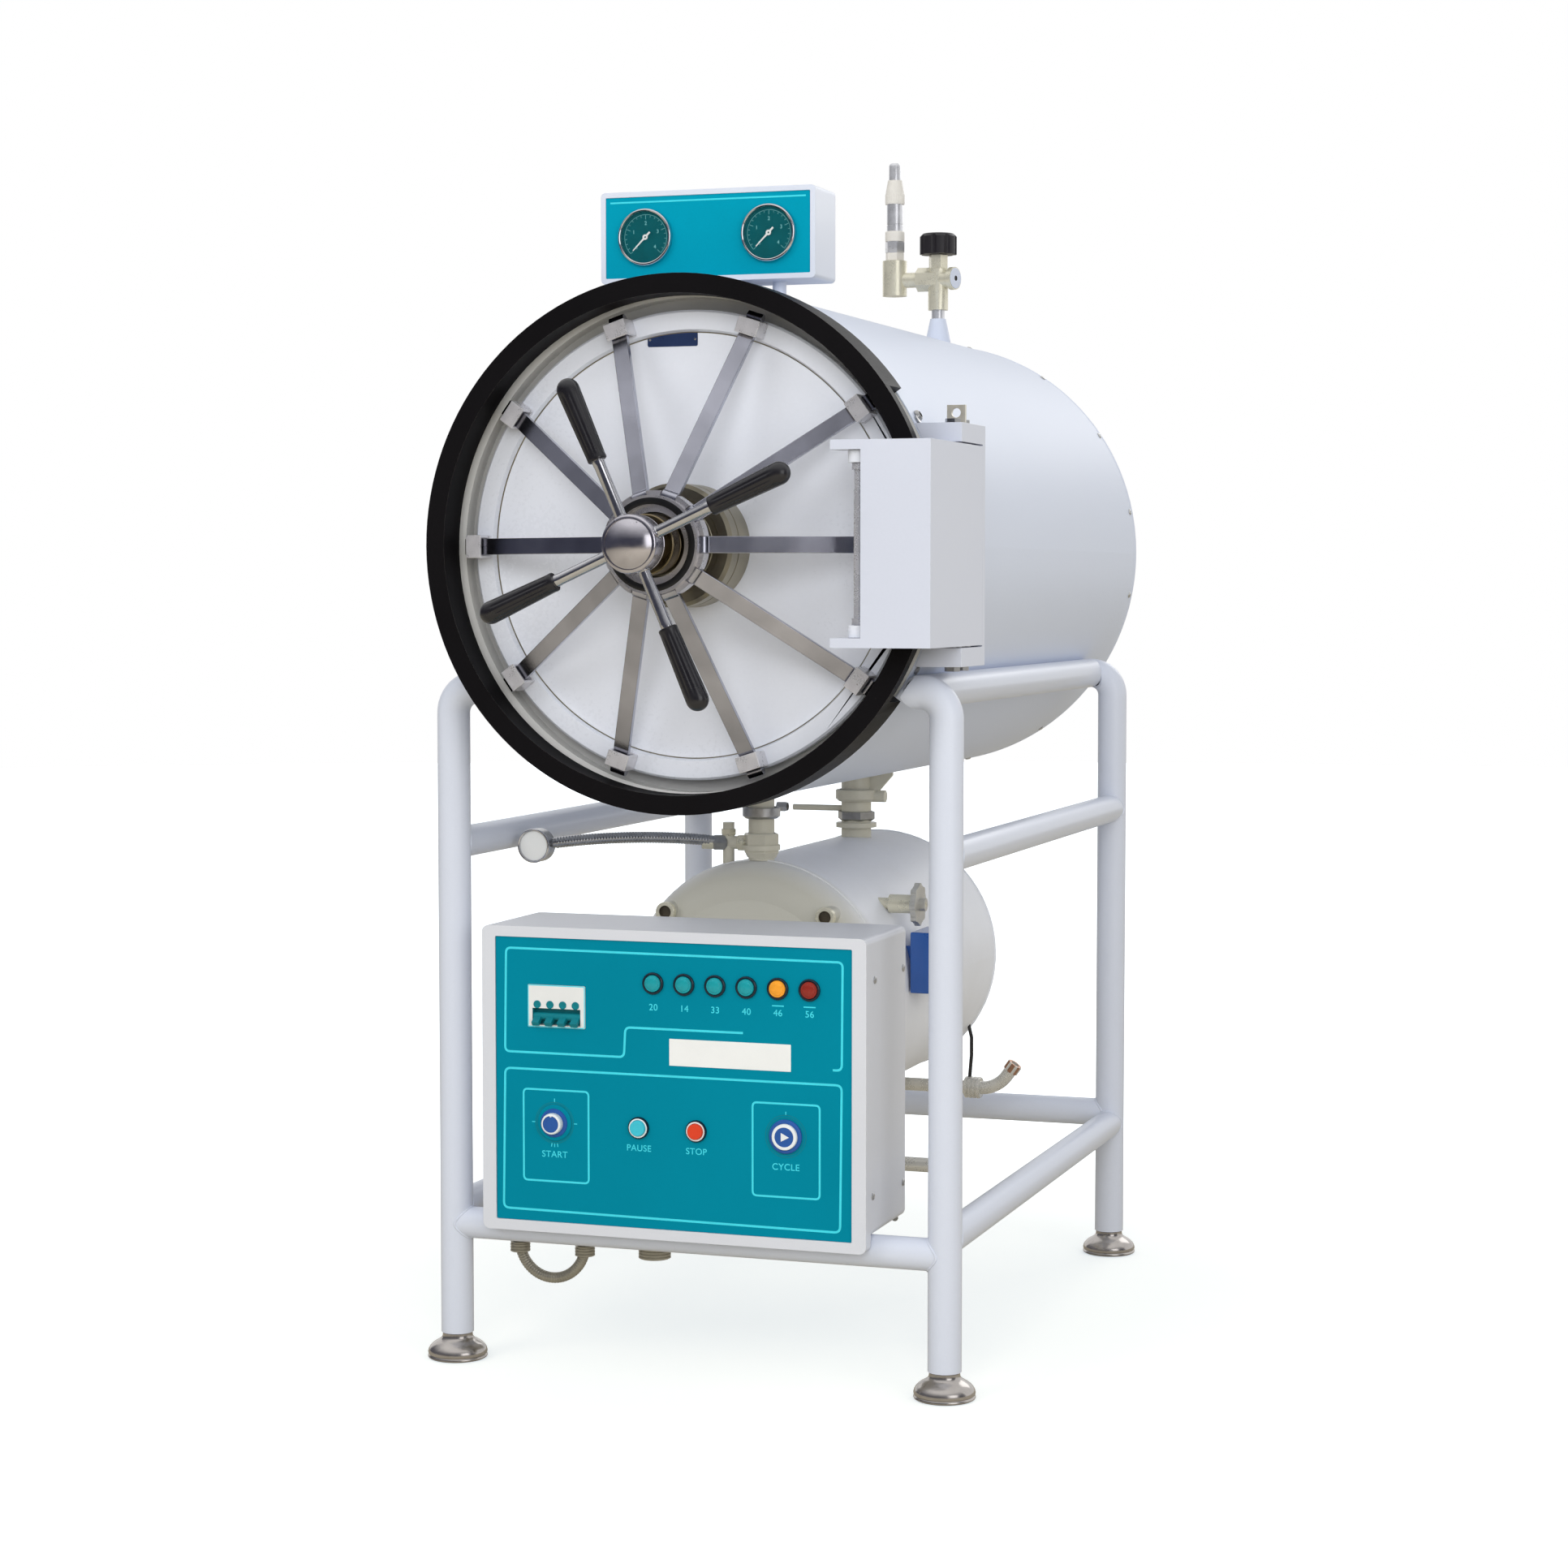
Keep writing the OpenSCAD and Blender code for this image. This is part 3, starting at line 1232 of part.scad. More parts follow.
// Cable glands under the control box, and the conduit that loops between two of them
module conduit() color("silver") {
    for (x = [conduit_x, conduit_x + conduit_span])
        translate([x, gland_y, gland_z]) gland(gland_r);
    difference() {
        translate([spare_gland_x, gland_y, gland_z]) gland(spare_gland_r);
        translate([spare_gland_x, gland_y, gland_z - cut])
            cylinder(h = box_floor_z - gland_z + 2 * cut, r = cable_r);
    }
    translate([conduit_x + conduit_span / 2, gland_y, gland_z]) rotate([90, 0, 0]) rotate([0, 0, 180])
        rotate_extrude(angle = 180) translate([conduit_span / 2, 0]) circle(conduit_r);
}
module gland(r) {
    cylinder(h = box_floor_z - gland_z - weld_gap, r = r * gland_neck_share);
    translate([0, 0, gland_nut_h / 2]) cylinder(h = gland_nut_h, r = r, $fn = 6);
}

stand_legs();
stand_rails();
foot_front_left();
foot_front_right();
foot_rear_left();
foot_rear_right();
casing();
insulation();
chamber();
lock_ring();
door_gasket();
loading_tray();
door_plate();
guide_blocks();
door_boss();
lock_sleeve();
handwheel();
handwheel_grips();
lock_bar(0);  // lock_bar_01
lock_bar(1);  // lock_bar_02
lock_bar(2);  // lock_bar_03
lock_bar(3);  // lock_bar_04
lock_bar(4);  // lock_bar_05
lock_bar(5);  // lock_bar_06
lock_bar(6);  // lock_bar_07
lock_bar(7);  // lock_bar_08
lock_bar(8);  // lock_bar_09
lock_bar(9);  // lock_bar_10
hinge_bracket();
hinge_post();
hinge_rod();
hinge_fasteners();
gauge_box();
gauge_panel();
gauge_cases();
needle(-1);  // needle_left
needle(1);  // needle_right
gauge_lenses();
vent_valve();
vent_knob();
safety_valve();
control_box();
control_panel();
breaker();
breaker_toggle();
lamps();
button_bezels();
start_knob();
pause_button();
stop_button();
cycle_button();
steam_generator();
heaters();
steam_columns();
pressure_controller();
level_valve();
level_wheel();
boiler_gauge();
water_pipes();
conduit();
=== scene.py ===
import json
from math import atan2, cos, hypot, pi, radians, sin, sqrt

import bmesh
import bpy
from mathutils import Matrix, Vector


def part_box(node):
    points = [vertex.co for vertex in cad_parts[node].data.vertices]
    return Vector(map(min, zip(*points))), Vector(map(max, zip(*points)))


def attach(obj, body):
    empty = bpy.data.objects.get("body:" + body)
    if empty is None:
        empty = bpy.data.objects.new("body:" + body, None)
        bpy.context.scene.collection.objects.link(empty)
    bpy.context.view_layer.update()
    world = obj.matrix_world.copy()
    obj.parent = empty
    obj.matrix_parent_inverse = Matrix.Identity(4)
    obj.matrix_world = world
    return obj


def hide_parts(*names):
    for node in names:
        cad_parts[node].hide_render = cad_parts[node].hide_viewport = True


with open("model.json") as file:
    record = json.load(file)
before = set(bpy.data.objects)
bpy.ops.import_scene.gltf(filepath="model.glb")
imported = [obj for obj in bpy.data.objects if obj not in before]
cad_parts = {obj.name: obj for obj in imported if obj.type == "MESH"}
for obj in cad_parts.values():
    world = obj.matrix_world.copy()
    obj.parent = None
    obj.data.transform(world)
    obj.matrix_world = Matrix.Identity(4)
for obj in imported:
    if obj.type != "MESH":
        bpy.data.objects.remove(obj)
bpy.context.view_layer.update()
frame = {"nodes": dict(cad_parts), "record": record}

# Camera
# It stands where the photographer stood: about four metres from the door, a step to the right and just
# below the vessel's axis, with a short telephoto lens.
lens = bpy.data.cameras.new("photograph_camera")
lens.lens, lens.sensor_width = 72.19, 36
camera = bpy.data.objects.new("photograph_camera", lens)
camera.location = (1.4207, -4.2787, 1.0354)
camera.rotation_euler = (radians(86.387), 0, radians(18.793))
bpy.context.collection.objects.link(camera)
bpy.context.scene.camera = camera


# Stand: bent legs, straight rails and the saddle tubes under the vessel
# Cold-drawn steel tube, mitred and welded, ground flush at the elbows and stove-enamelled gloss white.
# A small weld bead stays round every rail where it meets a leg.
def paint_chart(red, green, blue):
    """A colour read off a paint chart, 0 to 255, as the linear values that a shader takes."""
    return [((c / 255 + 0.055) / 1.055) ** 2.4 if c > 10 else c / 255 / 12.92 for c in (red, green, blue)]


def wired(tree, kind, sockets=None, **settings):
    """Adds a shader node with those settings to a node tree. sockets gives its inputs values or the outputs
    of other nodes, and what comes back are its own outputs."""
    made = tree.nodes.new("ShaderNode" + kind)
    for setting, choice in settings.items():
        setattr(made, setting, choice)
    for socket, value in (sockets or {}).items():
        if isinstance(value, bpy.types.NodeSocket):
            tree.links.new(value, made.inputs[socket])
        else:
            made.inputs[socket].default_value = value
    return made.outputs


def surface(name, colour, rough, metallic=0.0, drift=0.12, patch=0.02, grain=0.001, along=(1, 1, 1),
        relief=0.1, swing=0.05, coat=0.0, shine=0.5, worn=None, worn_share=0.3, worn_size=0.004,
        turned=False):
    """A painted, plated or bare surface in that chart colour. The colour drifts from patch to patch, a fine
    grain breaks up gloss and surface, and the worn colour shows through on a share of it. On turned pieces
    the grain runs round the piece's own Z axis. Patches and grain are in metres."""
    made = bpy.data.materials.new(name)
    made.use_nodes = True
    tree = made.node_tree
    shader = tree.nodes["Principled BSDF"]
    place = wired(tree, "TexCoord")["Object"]

    def noise(size, source, detail):
        return wired(tree, "TexNoise", {"Vector": source, "Scale": 1 / size, "Detail": detail})["Fac"]

    run = place
    if turned:
        flat = wired(tree, "VectorMath", {0: place, 1: (1, 1, 0)}, operation="MULTIPLY")["Vector"]
        out = wired(tree, "VectorMath", {0: flat}, operation="LENGTH")["Value"]
        height = wired(tree, "SeparateXYZ", {0: place})["Z"]
        run = wired(tree, "CombineXYZ", {"X": out, "Z": height})[0]
    broad = noise(patch, place, 3)
    fine = noise(grain, wired(tree, "Mapping", {"Vector": run, "Scale": along})["Vector"], 4)
    share = wired(tree, "Math", {0: broad, 1: 0.7}, operation="MULTIPLY")[0]
    mixed = wired(tree, "Math", {0: fine, 1: 0.3, 2: share}, operation="MULTIPLY_ADD")[0]
    tone = wired(tree, "ValToRGB", {0: mixed})["Color"]
    base = Vector(paint_chart(*colour))
    for stop, where, level in zip(tone.node.color_ramp.elements, (0.32, 0.68), (1 - drift, 1 + drift)):
        stop.position = where
        stop.color = (*[min(1.0, c) for c in base * level], 1)
    if worn:
        marks = wired(tree, "MapRange", {"Value": noise(worn_size, place, 6),
            "From Min": 0.78 - 0.3 * worn_share, "From Max": 0.84 - 0.3 * worn_share})["Result"]
        tone = wired(tree, "Mix", {0: marks, 6: tone, 7: (*paint_chart(*worn), 1)}, data_type="RGBA")[2]
    gloss = wired(tree, "MapRange", {"Value": mixed, "From Min": 0.3, "From Max": 0.7,
        "To Min": max(0.02, rough - swing), "To Max": rough + swing})["Result"]
    skin = wired(tree, "Bump", {"Strength": relief, "Distance": grain / 2, "Height": fine})["Normal"]
    for socket, level in (("Metallic", metallic), ("Coat Weight", coat), ("Coat Roughness", 0.1),
            ("Specular IOR Level", shine)):
        shader.inputs[socket].default_value = level
    for socket, source in (("Base Color", tone), ("Roughness", gloss), ("Normal", skin)):
        tree.links.new(source, shader.inputs[socket])
    return made


def dress(material, *nodes):
    """Gives a finish to CAD nodes that are shown as they are."""
    for node in nodes:
        for place in frame["nodes"][node].material_slots:
            place.material = material


def fitted(piece, body, slot, *stands_for):
    """Fixes a piece to the body that carries it and hides the nodes it replaces. slot is not used."""
    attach(piece, body)
    if stands_for:
        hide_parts(*stands_for)
    return piece


def wire(name, runs, radius, material, slot, body="autoclave", swell=0.0, closed=True):
    """Round wire or weld bead of that radius in mm along runs of points in mm; swell makes it uneven."""
    drawn = bpy.data.curves.new(name, "CURVE")
    drawn.dimensions = "3D"
    drawn.bevel_depth = radius / 1000
    drawn.bevel_resolution = 3
    for run in runs:
        spline = drawn.splines.new("POLY")
        spline.points.add(len(run) - 1)
        for k, (point, spot) in enumerate(zip(run, spline.points)):
            spot.co = (*[c / 1000 for c in point], 1)
            spot.radius = 1 + swell * sin(2.4 * k) + swell / 2 * sin(5.1 * k)
        spline.use_cyclic_u = closed
        spline.use_smooth = True
    drawn.materials.append(material)
    piece = bpy.data.objects.new(name, drawn)
    bpy.context.collection.objects.link(piece)
    return fitted(piece, body, slot)


white_enamel = surface("white_stove_enamel", (211, 217, 231), 0.34, drift=0.02, patch=0.4, grain=0.004,
    relief=0.05, coat=0.12, shine=0.4, worn=(176, 174, 168), worn_share=0.05)
dress(white_enamel, "stand_legs", "stand_rails")
leg_x, leg_y, leg_r = 340, 467, 21.8
rail_r, front_rail_z, rear_rail_z, side_rail_zs = 21, 184, 219, (203, 693)
bead_r, bead_gap = 1.5, 0.3
joints = [(sx * leg_x, sy * leg_y, z, -sx, 0) for sx in (-1, 1)
    for sy, z in ((-1, front_rail_z), (1, rear_rail_z))]
joints += [(sx * leg_x, sy * leg_y, z, 0, -sy) for sx in (-1, 1) for sy in (-1, 1) for z in side_rail_zs]
beads = []
for x, y, z, dx, dy in joints:
    ring = []
    for k in range(48):
        across, up = rail_r * cos(k * pi / 24), rail_r * sin(k * pi / 24)
        out = sqrt(leg_r ** 2 - across ** 2) + bead_gap
        ring.append((x + dx * out - dy * across, y + dy * out + dx * across, z + up))
    beads.append(ring)
wire("rail_welds", beads, bead_r, white_enamel, "white_enamel", swell=0.12)


# Levelling feet
# Pressed steel bells, polished and chromed, each on a screwed stud that goes up into its leg.
def formed(name, shape, finishes, sharp=None):
    """Turns a finished bmesh into an object with one finish or a list of them. Where sharp is given its
    faces are smooth, apart from edges of more than that many degrees."""
    mesh = bpy.data.meshes.new(name)
    shape.to_mesh(mesh)
    shape.free()
    if sharp:
        mesh.polygons.foreach_set("use_smooth", [True] * len(mesh.polygons))
        mesh.set_sharp_from_angle(angle=radians(sharp))
    for finish in finishes if isinstance(finishes, list) else [finishes]:
        mesh.materials.append(finish)
    piece = bpy.data.objects.new(name, mesh)
    bpy.context.collection.objects.link(piece)
    return piece


def turned_piece(name, profile, where, axis, material, slot, *stands_for, body="autoclave", sides=96,
        flutes=None):
    """A piece turned on a lathe. profile lists (distance along the axis, radius) in mm from the point
    where, and a third value starts the next of several materials. flutes is (count, depth, from, to)."""
    shape = bmesh.new()
    rows = []
    for step in profile:
        row = []
        for k in range(sides):
            turn = 2 * pi * k / sides
            radius = step[1]
            if flutes and flutes[2] <= step[0] <= flutes[3]:
                radius -= flutes[1] * (0.5 - 0.5 * cos(flutes[0] * turn)) ** 3
            row.append(shape.verts.new((radius * cos(turn) / 1000, radius * sin(turn) / 1000,
                step[0] / 1000)))
        rows.append(row)
    kind = 0
    for below, above, step in zip(rows, rows[1:], profile):
        kind = step[2] if len(step) > 2 else kind
        for k in range(sides):
            face = shape.faces.new((below[k - 1], below[k], above[k], above[k - 1]))
            face.material_index = kind
    bmesh.ops.remove_doubles(shape, verts=shape.verts, dist=1e-6)
    bmesh.ops.recalc_face_normals(shape, faces=shape.faces)
    piece = formed(name, shape, material, 32)
    heading = Vector(axis).to_track_quat("Z", "Y").to_matrix().to_4x4()
    piece.matrix_world = Matrix.Translation(Vector(where) / 1000) @ heading
    return fitted(piece, body, slot, *stands_for)


upwards = (0, 0, 1)
foot_chrome = surface("foot_chrome", (180, 175, 171), 0.2, metallic=0.9, drift=0.16, patch=0.03,
    grain=0.0015, along=(1, 1, 8), relief=0.06, swing=0.08, worn=(92, 84, 72))
bell = [(0, 0), (0, 37.5), (1, 39.3), (2.5, 40), (4, 39.6), (5, 38.6), (6, 39.4), (8.5, 39.9), (12, 39),
    (15, 37.3), (18, 34.6), (20.5, 31.4), (23, 27), (25, 23.6), (27.5, 21), (30, 20.2), (33.8, 20),
    (34.6, 19.4), (34.6, 0)]
for end, sy in (("front", -1), ("rear", 1)):
    for side, sx in (("left", -1), ("right", 1)):
        foot = f"foot_{end}_{side}"
        turned_piece(foot + "_bell", bell, (sx * leg_x, sy * leg_y, 0), upwards, foot_chrome, "foot_steel",
            foot, body=foot)


# Casing, insulation, chamber and loading tray
# The casing is rolled sheet with a spun rear end, enamelled, with a plug in its middle and screws round it.
# Inside it glass wool fills the room round the stainless jacket and chamber, and the pierced tray lies on
# the chamber's floor.
def on_circle(x, z, r, degrees):
    """The point at that angle on a circle of radius r round (x, z)."""
    return x + r * cos(radians(degrees)), z + r * sin(radians(degrees))


def casing_screw(name, profile, r, y, degrees, material, sides):
    """A screw that stands out from the round side of the casing."""
    across, up = on_circle(0, 0, 1, degrees)
    turned_piece(name, profile, (r * across, y, axis_z + r * up), (across, 0, up), material,
        "polished_steel", sides=sides)


def pan_screws(name, places, axis):
    """Pan-head screws at those places, numbered from 1."""
    for k, place in enumerate(places):
        turned_piece(f"{name}_{k + 1}", pan_head, place, axis, screw_zinc, "polished_steel", sides=24)


axis_z, backwards = 1086, (0, 1, 0)
casing_back_y, seam_y, rear_screw_y, rear_screw_r, rear_screw_step = 706, 640, 628, 335.4, 22.5
casing_enamel = surface("casing_enamel", (214, 222, 239), 0.42, drift=0.015, patch=0.6, grain=0.006,
    relief=0.06, swing=0.04, shine=0.3)
dress(casing_enamel, "casing")
turned_piece("casing_seam", [(0, 335.3), (1.5, 336.2), (4.5, 336.2), (6, 335.3)], (0, seam_y, axis_z),
    backwards, casing_enamel, "white_enamel", sides=192)
turned_piece("casing_rear_plug", [(-7, 47), (-1, 47), (0.6, 46), (1.4, 44), (1.4, 15), (2.2, 14), (2.6, 12),
    (2.6, 0)], (0, casing_back_y, axis_z), backwards, casing_enamel, "white_enamel")
screw_zinc = surface("casing_screw_zinc", (190, 190, 188), 0.3, metallic=0.9, patch=0.01,
    worn=(120, 112, 100), worn_share=0.2)
pan_head = [(-0.6, 4.6), (0.4, 4.8), (1.6, 4.3), (2.3, 3.2), (2.5, 1.5), (1.9, 1.3), (1.9, 0)]
for k in range(16):
    casing_screw(f"casing_rear_screw_{k + 1:02d}", pan_head, rear_screw_r, rear_screw_y,
        rear_screw_step * (k + 0.5), screw_zinc, 24)
dress(surface("glass_wool", (196, 178, 112), 0.95, drift=0.22, grain=0.003, along=(1, 4, 1), relief=0.8),
    "insulation")
dress(surface("chamber_stainless", (206, 206, 205), 0.36, metallic=0.35, drift=0.07, patch=0.12,
    grain=0.0016, along=(6, 1, 6), swing=0.1), "chamber")
dress(surface("tray_stainless", (212, 212, 212), 0.34, metallic=0.4, drift=0.08, patch=0.05,
    along=(1, 9, 1), relief=0.12, swing=0.1), "loading_tray")


# Lock ring and door gasket
# The ring is a machined forging in gloss black enamel with an ivory seat inside its lip. Its eased edges
# take a lighter metal colour, partly rubbed paint and partly a painted highlight line. The gasket is a
# moulded silicone ring pressed into the flange's groove.
def eased(node, width, material, slot, local=None, pick=None, edge=None):
    """A CAD node's shape with its edges eased by width mm, as a finished part's are. local is the matrix of
    the piece's own axes, pick says which of several materials a face takes, and edge is the edges' own."""
    shape = bmesh.new()
    shape.from_mesh(frame["nodes"][node].data)
    bmesh.ops.remove_doubles(shape, verts=shape.verts, dist=2e-6)
    bmesh.ops.dissolve_limit(shape, angle_limit=radians(0.5), verts=shape.verts, edges=shape.edges)
    if pick:
        for face in shape.faces:
            face.material_index = pick(face.calc_center_median() * 1000, face.normal)
    place = local or Matrix.Identity(4)
    shape.transform(place.inverted())
    coatings = material if isinstance(material, list) else [material]
    sharp = 28
    piece = formed(node + "_eased", shape, coatings + ([edge] if edge else []), sharp)
    piece.matrix_world = place
    bevel = piece.modifiers.new("eased_edges", "BEVEL")
    bevel.width, bevel.segments, bevel.limit_method = width / 1000, 2, "ANGLE"
    bevel.angle_limit, bevel.use_clamp_overlap, bevel.harden_normals = radians(sharp), True, True
    if edge:
        bevel.material = len(coatings)
    return fitted(piece, carried_by[node], slot, node)


carried_by = {node: body for body, nodes in frame["record"]["behaviour"]["bodies"].items()
    for node in nodes}
seat_front_y = -473
ring_black = surface("ring_black_enamel", (20, 19, 21), 0.42, patch=0.15, grain=0.003, relief=0.06,
    swing=0.06, shine=0.3, worn=(44, 42, 41), worn_share=0.1, worn_size=0.012)
ring_black.node_tree.nodes["Principled BSDF"].inputs["IOR"].default_value = 1.14
# Painted highlight: a lighter metal colour on the ring's eased edges, partly rubbed paint as well.
edge_wear_and_highlight = surface("ring_edge_wear_and_painted_highlight", (128, 124, 118), 0.35, metallic=0.8, drift=0.3, patch=0.03,
    worn=(30, 30, 32), worn_share=0.55)
seat_ivory = surface("seat_ivory_enamel", (226, 226, 224), 0.34, drift=0.025, patch=0.3, grain=0.004,
    relief=0.04, worn=(170, 164, 152), worn_share=0.06)
eased("lock_ring", 1.0, [ring_black, seat_ivory], "black_enamel", edge=edge_wear_and_highlight,
    pick=lambda at, normal: 1 if at.y > seat_front_y and normal.y < 0.5 else 0)
dress(surface("gasket_silicone", (168, 66, 44), 0.6, drift=0.08, patch=0.05, grain=0.002), "door_gasket")


# Door: plate with its raised rim, guide blocks and boss
# The plate is pressed steel in ivory satin enamel. Ten machined and chromed guide blocks are welded to its
# rim, the cast boss is turned and oiled dark, and a bare blue plate is riveted near the top.
def flat_plate(name, outline, front, depth, material, slot, body="autoclave", ease=0.3):
    """A plate cut to an outline of (x, z) in mm, its face at y = front and its back depth mm behind it."""
    shape = bmesh.new()
    face = shape.faces.new([shape.verts.new((x / 1000, front / 1000, z / 1000)) for x, z in outline])
    grown = bmesh.ops.extrude_face_region(shape, geom=[face])
    bmesh.ops.translate(shape, vec=(0, depth / 1000, 0),
        verts=[v for v in grown["geom"] if isinstance(v, bmesh.types.BMVert)])
    bmesh.ops.recalc_face_normals(shape, faces=shape.faces)
    piece = formed(name, shape, material)
    bevel = piece.modifiers.new("eased_edges", "BEVEL")
    bevel.width, bevel.segments = ease / 1000, 2
    bevel.limit_method, bevel.angle_limit = "ANGLE", radians(50)
    return fitted(piece, body, slot)


def round_cornered(x0, z0, x1, z1, r, steps=6):
    """The outline of a plate with round corners."""
    corners = ((x1 - r, z1 - r, 0), (x0 + r, z1 - r, 90), (x0 + r, z0 + r, 180), (x1 - r, z0 + r, 270))
    return [on_circle(x, z, r, a + 90 * k / steps) for x, z, a in corners for k in range(steps + 1)]


forwards = (0, -1, 0)
door_back_y, rim_face_y, plate_y = -470.1, -470.2, -470.8
door_ivory = surface("door_ivory_enamel", (230, 234, 244), 0.3, drift=0.025, patch=0.3, grain=0.004,
    relief=0.05, coat=0.15, shine=0.4, worn=(168, 162, 150), worn_share=0.04)
eased("door_plate", 0.8, door_ivory, "door_steel")
block_chrome = surface("block_satin_chrome", (222, 221, 225), 0.3, metallic=0.55, grain=0.0012, relief=0.05,
    swing=0.07, worn=(120, 116, 112), worn_share=0.2, worn_size=0.01)
eased("guide_blocks", 1.2, block_chrome, "polished_steel")
boss_iron = surface("boss_turned_iron", (160, 153, 134), 0.36, metallic=1, drift=0.22, patch=0.04,
    grain=0.0011, relief=0.16, swing=0.1, worn=(50, 44, 36), worn_share=0.25, worn_size=0.012, turned=True)
turned_piece("door_boss_turned", [(0, 0), (0, 79), (40, 79), (41, 78.2), (43, 78.2), (44, 79), (66, 79),
    (71, 74.5), (71, 62), (70, 61), (70, 54), (71, 53), (71, 41), (127, 41), (128.5, 39.5), (128.5, 17),
    (100, 16.2)], (0, door_back_y, axis_z), forwards, boss_iron, "boss_iron", "door_boss", body="door")
plate_blue = surface("nameplate_blue", (44, 62, 104), 0.3, metallic=0.3, relief=0.05, coat=0.3)
rivet_steel = surface("rivet_steel", (186, 188, 194), 0.25, metallic=1, drift=0.1, patch=0.01, grain=0.002,
    relief=0.05)
# Painted shade: a thin dark bead runs round the foot of the rim, where the step down to the plate is
# shaded.
rim_shade_line_r = 273.8
bare_left_x, bare_right_x, bare_z, bare_half_h, rivet_inset = -61, 8, 1351, 9, 3.5
rim_circle = [on_circle(0, axis_z, rim_shade_line_r, 1.5 * k) for k in range(240)]
wire("door_rim_shade_line", [[(x, rim_face_y, z) for x, z in rim_circle]], 0.9, boss_iron, "door_steel",
    body="door")
flat_plate("door_bare_plate", round_cornered(bare_left_x, bare_z - bare_half_h, bare_right_x,
    bare_z + bare_half_h, 2.5), plate_y, 0.8, plate_blue, "blue_enamel", body="door")
for side, x in (("left", bare_left_x + rivet_inset), ("right", bare_right_x - rivet_inset)):
    turned_piece(f"door_plate_rivet_{side}", [(0, 1.6), (0.5, 1.5), (0.9, 0.9), (1.05, 0)],
        (x, plate_y, bare_z), forwards, rivet_steel, "polished_steel", body="door", sides=24)


# Locking gear: sliding sleeve and ten bars
# The sleeve is turned steel with a thin black ring laid on its face. Each bar is cut from ground flat
# stock, with an eye on one of the sleeve's pins and a round nose that slides through its guide block.
sleeve_steel = surface("sleeve_steel", (212, 210, 214), 0.3, metallic=0.85, drift=0.14, patch=0.03,
    grain=0.0012, relief=0.08, swing=0.08, worn=(110, 104, 96), worn_share=0.2)
eased("lock_sleeve", 0.7, sleeve_steel, "polished_steel")
sleeve_face_y = -619
face_ring_black = surface("sleeve_face_black", (20, 20, 22), 0.3, drift=0.2, grain=0.002, relief=0.08)
turned_piece("sleeve_face_ring", [(-1, 50.3), (0.3, 50.3), (0.5, 50.8), (0.5, 58.2), (0.3, 58.7),
    (-1, 58.7)], (0, sleeve_face_y, axis_z), forwards, face_ring_black, "black_plastic", body="lock_sleeve",
    sides=128)
bar_steel = surface("bar_ground_steel", (172, 173, 184), 0.2, metallic=1, drift=0.3, patch=0.09,
    grain=0.0016, along=(1, 14, 14), relief=0.06, swing=0.07)
pivot_r, pivot_y, bar_rise, bar_run = 0.062, -0.6, 0.109, 0.241
for number in range(1, 11):
    node = f"lock_bar_{number:02d}"
    low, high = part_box(node)
    middle = (low + high) / 2
    turn = atan2(middle.z - axis_z / 1000, middle.x)
    own_axes = (Matrix.Translation((0, 0, axis_z / 1000)) @ Matrix.Rotation(-turn, 4, "Y")
        @ Matrix.Translation((pivot_r, pivot_y, 0)) @ Matrix.Rotation(atan2(bar_rise, bar_run), 4, "Z"))
    eased(node, 0.9, bar_steel, "bar_steel", local=own_axes)


# Handwheel: nut, neck, domed hub, rods and grips
# The threaded nut is bronze, the hub a steel dome polished with a fine mop, and four chromed rods are
# screwed into it. Each rod ends in a moulded black grip with shallow lengthwise flutes.
nut_bronze = surface("nut_bronze", (124, 112, 88), 0.3, metallic=1, drift=0.2, patch=0.03, relief=0.14,
    swing=0.08, worn=(76, 64, 46), worn_share=0.25, worn_size=0.01, turned=True)
dome_steel = surface("dome_mopped_steel", (196, 193, 200), 0.2, metallic=1, drift=0.13, grain=0.0009,
    relief=0.12, swing=0.1, worn=(110, 106, 110), worn_share=0.25, worn_size=0.008)
nut_face, rod_centre, first_rod = (0, -600, axis_z), (0, -680, axis_z), 24
turned_piece("handwheel_nut", [(0, 16), (0, 37.2), (0.8, 38), (12, 38), (12.6, 37.3), (14, 37.3),
    (14.6, 38), (37.5, 38), (39, 36.5), (39, 27), (63, 27)], nut_face, forwards, nut_bronze,
    "polished_steel", "handwheel", body="handwheel")
dome = [(63, 20), (63, 35.3), (64.2, 36.5), (66, 36.5), (66.5, 35.9), (67.5, 35.9), (68, 36.5),
    (88.6, 36.5)]
dome += [(91 + 4.5 * sin(radians(a)), 32 + 4.5 * cos(radians(a))) for a in range(6, 90, 12)]
dome += [(95.5, 31.6), (95, 31.2)]
crown_edge_r, crown_rise = 31, 11
crown_r = (crown_edge_r ** 2 + crown_rise ** 2) / (2 * crown_rise)
dome += [(106 - crown_r + sqrt(crown_r ** 2 - r * r), r) for r in (31, 30, 28, 25, 21, 17, 13, 9, 5, 2, 0)]
turned_piece("handwheel_dome", dome, nut_face, forwards, dome_steel, "polished_steel", body="handwheel")
rod_chrome = surface("rod_chrome", (200, 200, 204), 0.13, metallic=1, grain=0.0015, relief=0.04, swing=0.06,
    worn=(120, 116, 110), worn_share=0.15)
grip_black = surface("grip_moulded_black", (24, 23, 28), 0.3, drift=0.15, grain=0.0012, swing=0.08,
    coat=0.15, worn=(50, 49, 54), worn_share=0.12, worn_size=0.01)
grip = [(112, 7.6), (112, 11), (112.8, 12), (114.5, 12.4), (116, 12.2), (118, 12.05)]
grip += [(118 + 5 * k, 12.05 + 2.3 * k / 17) for k in range(1, 18)]
grip += [(207.5 + 14.4 * sin(radians(a)), 14.4 * cos(radians(a))) for a in range(0, 91, 10)]
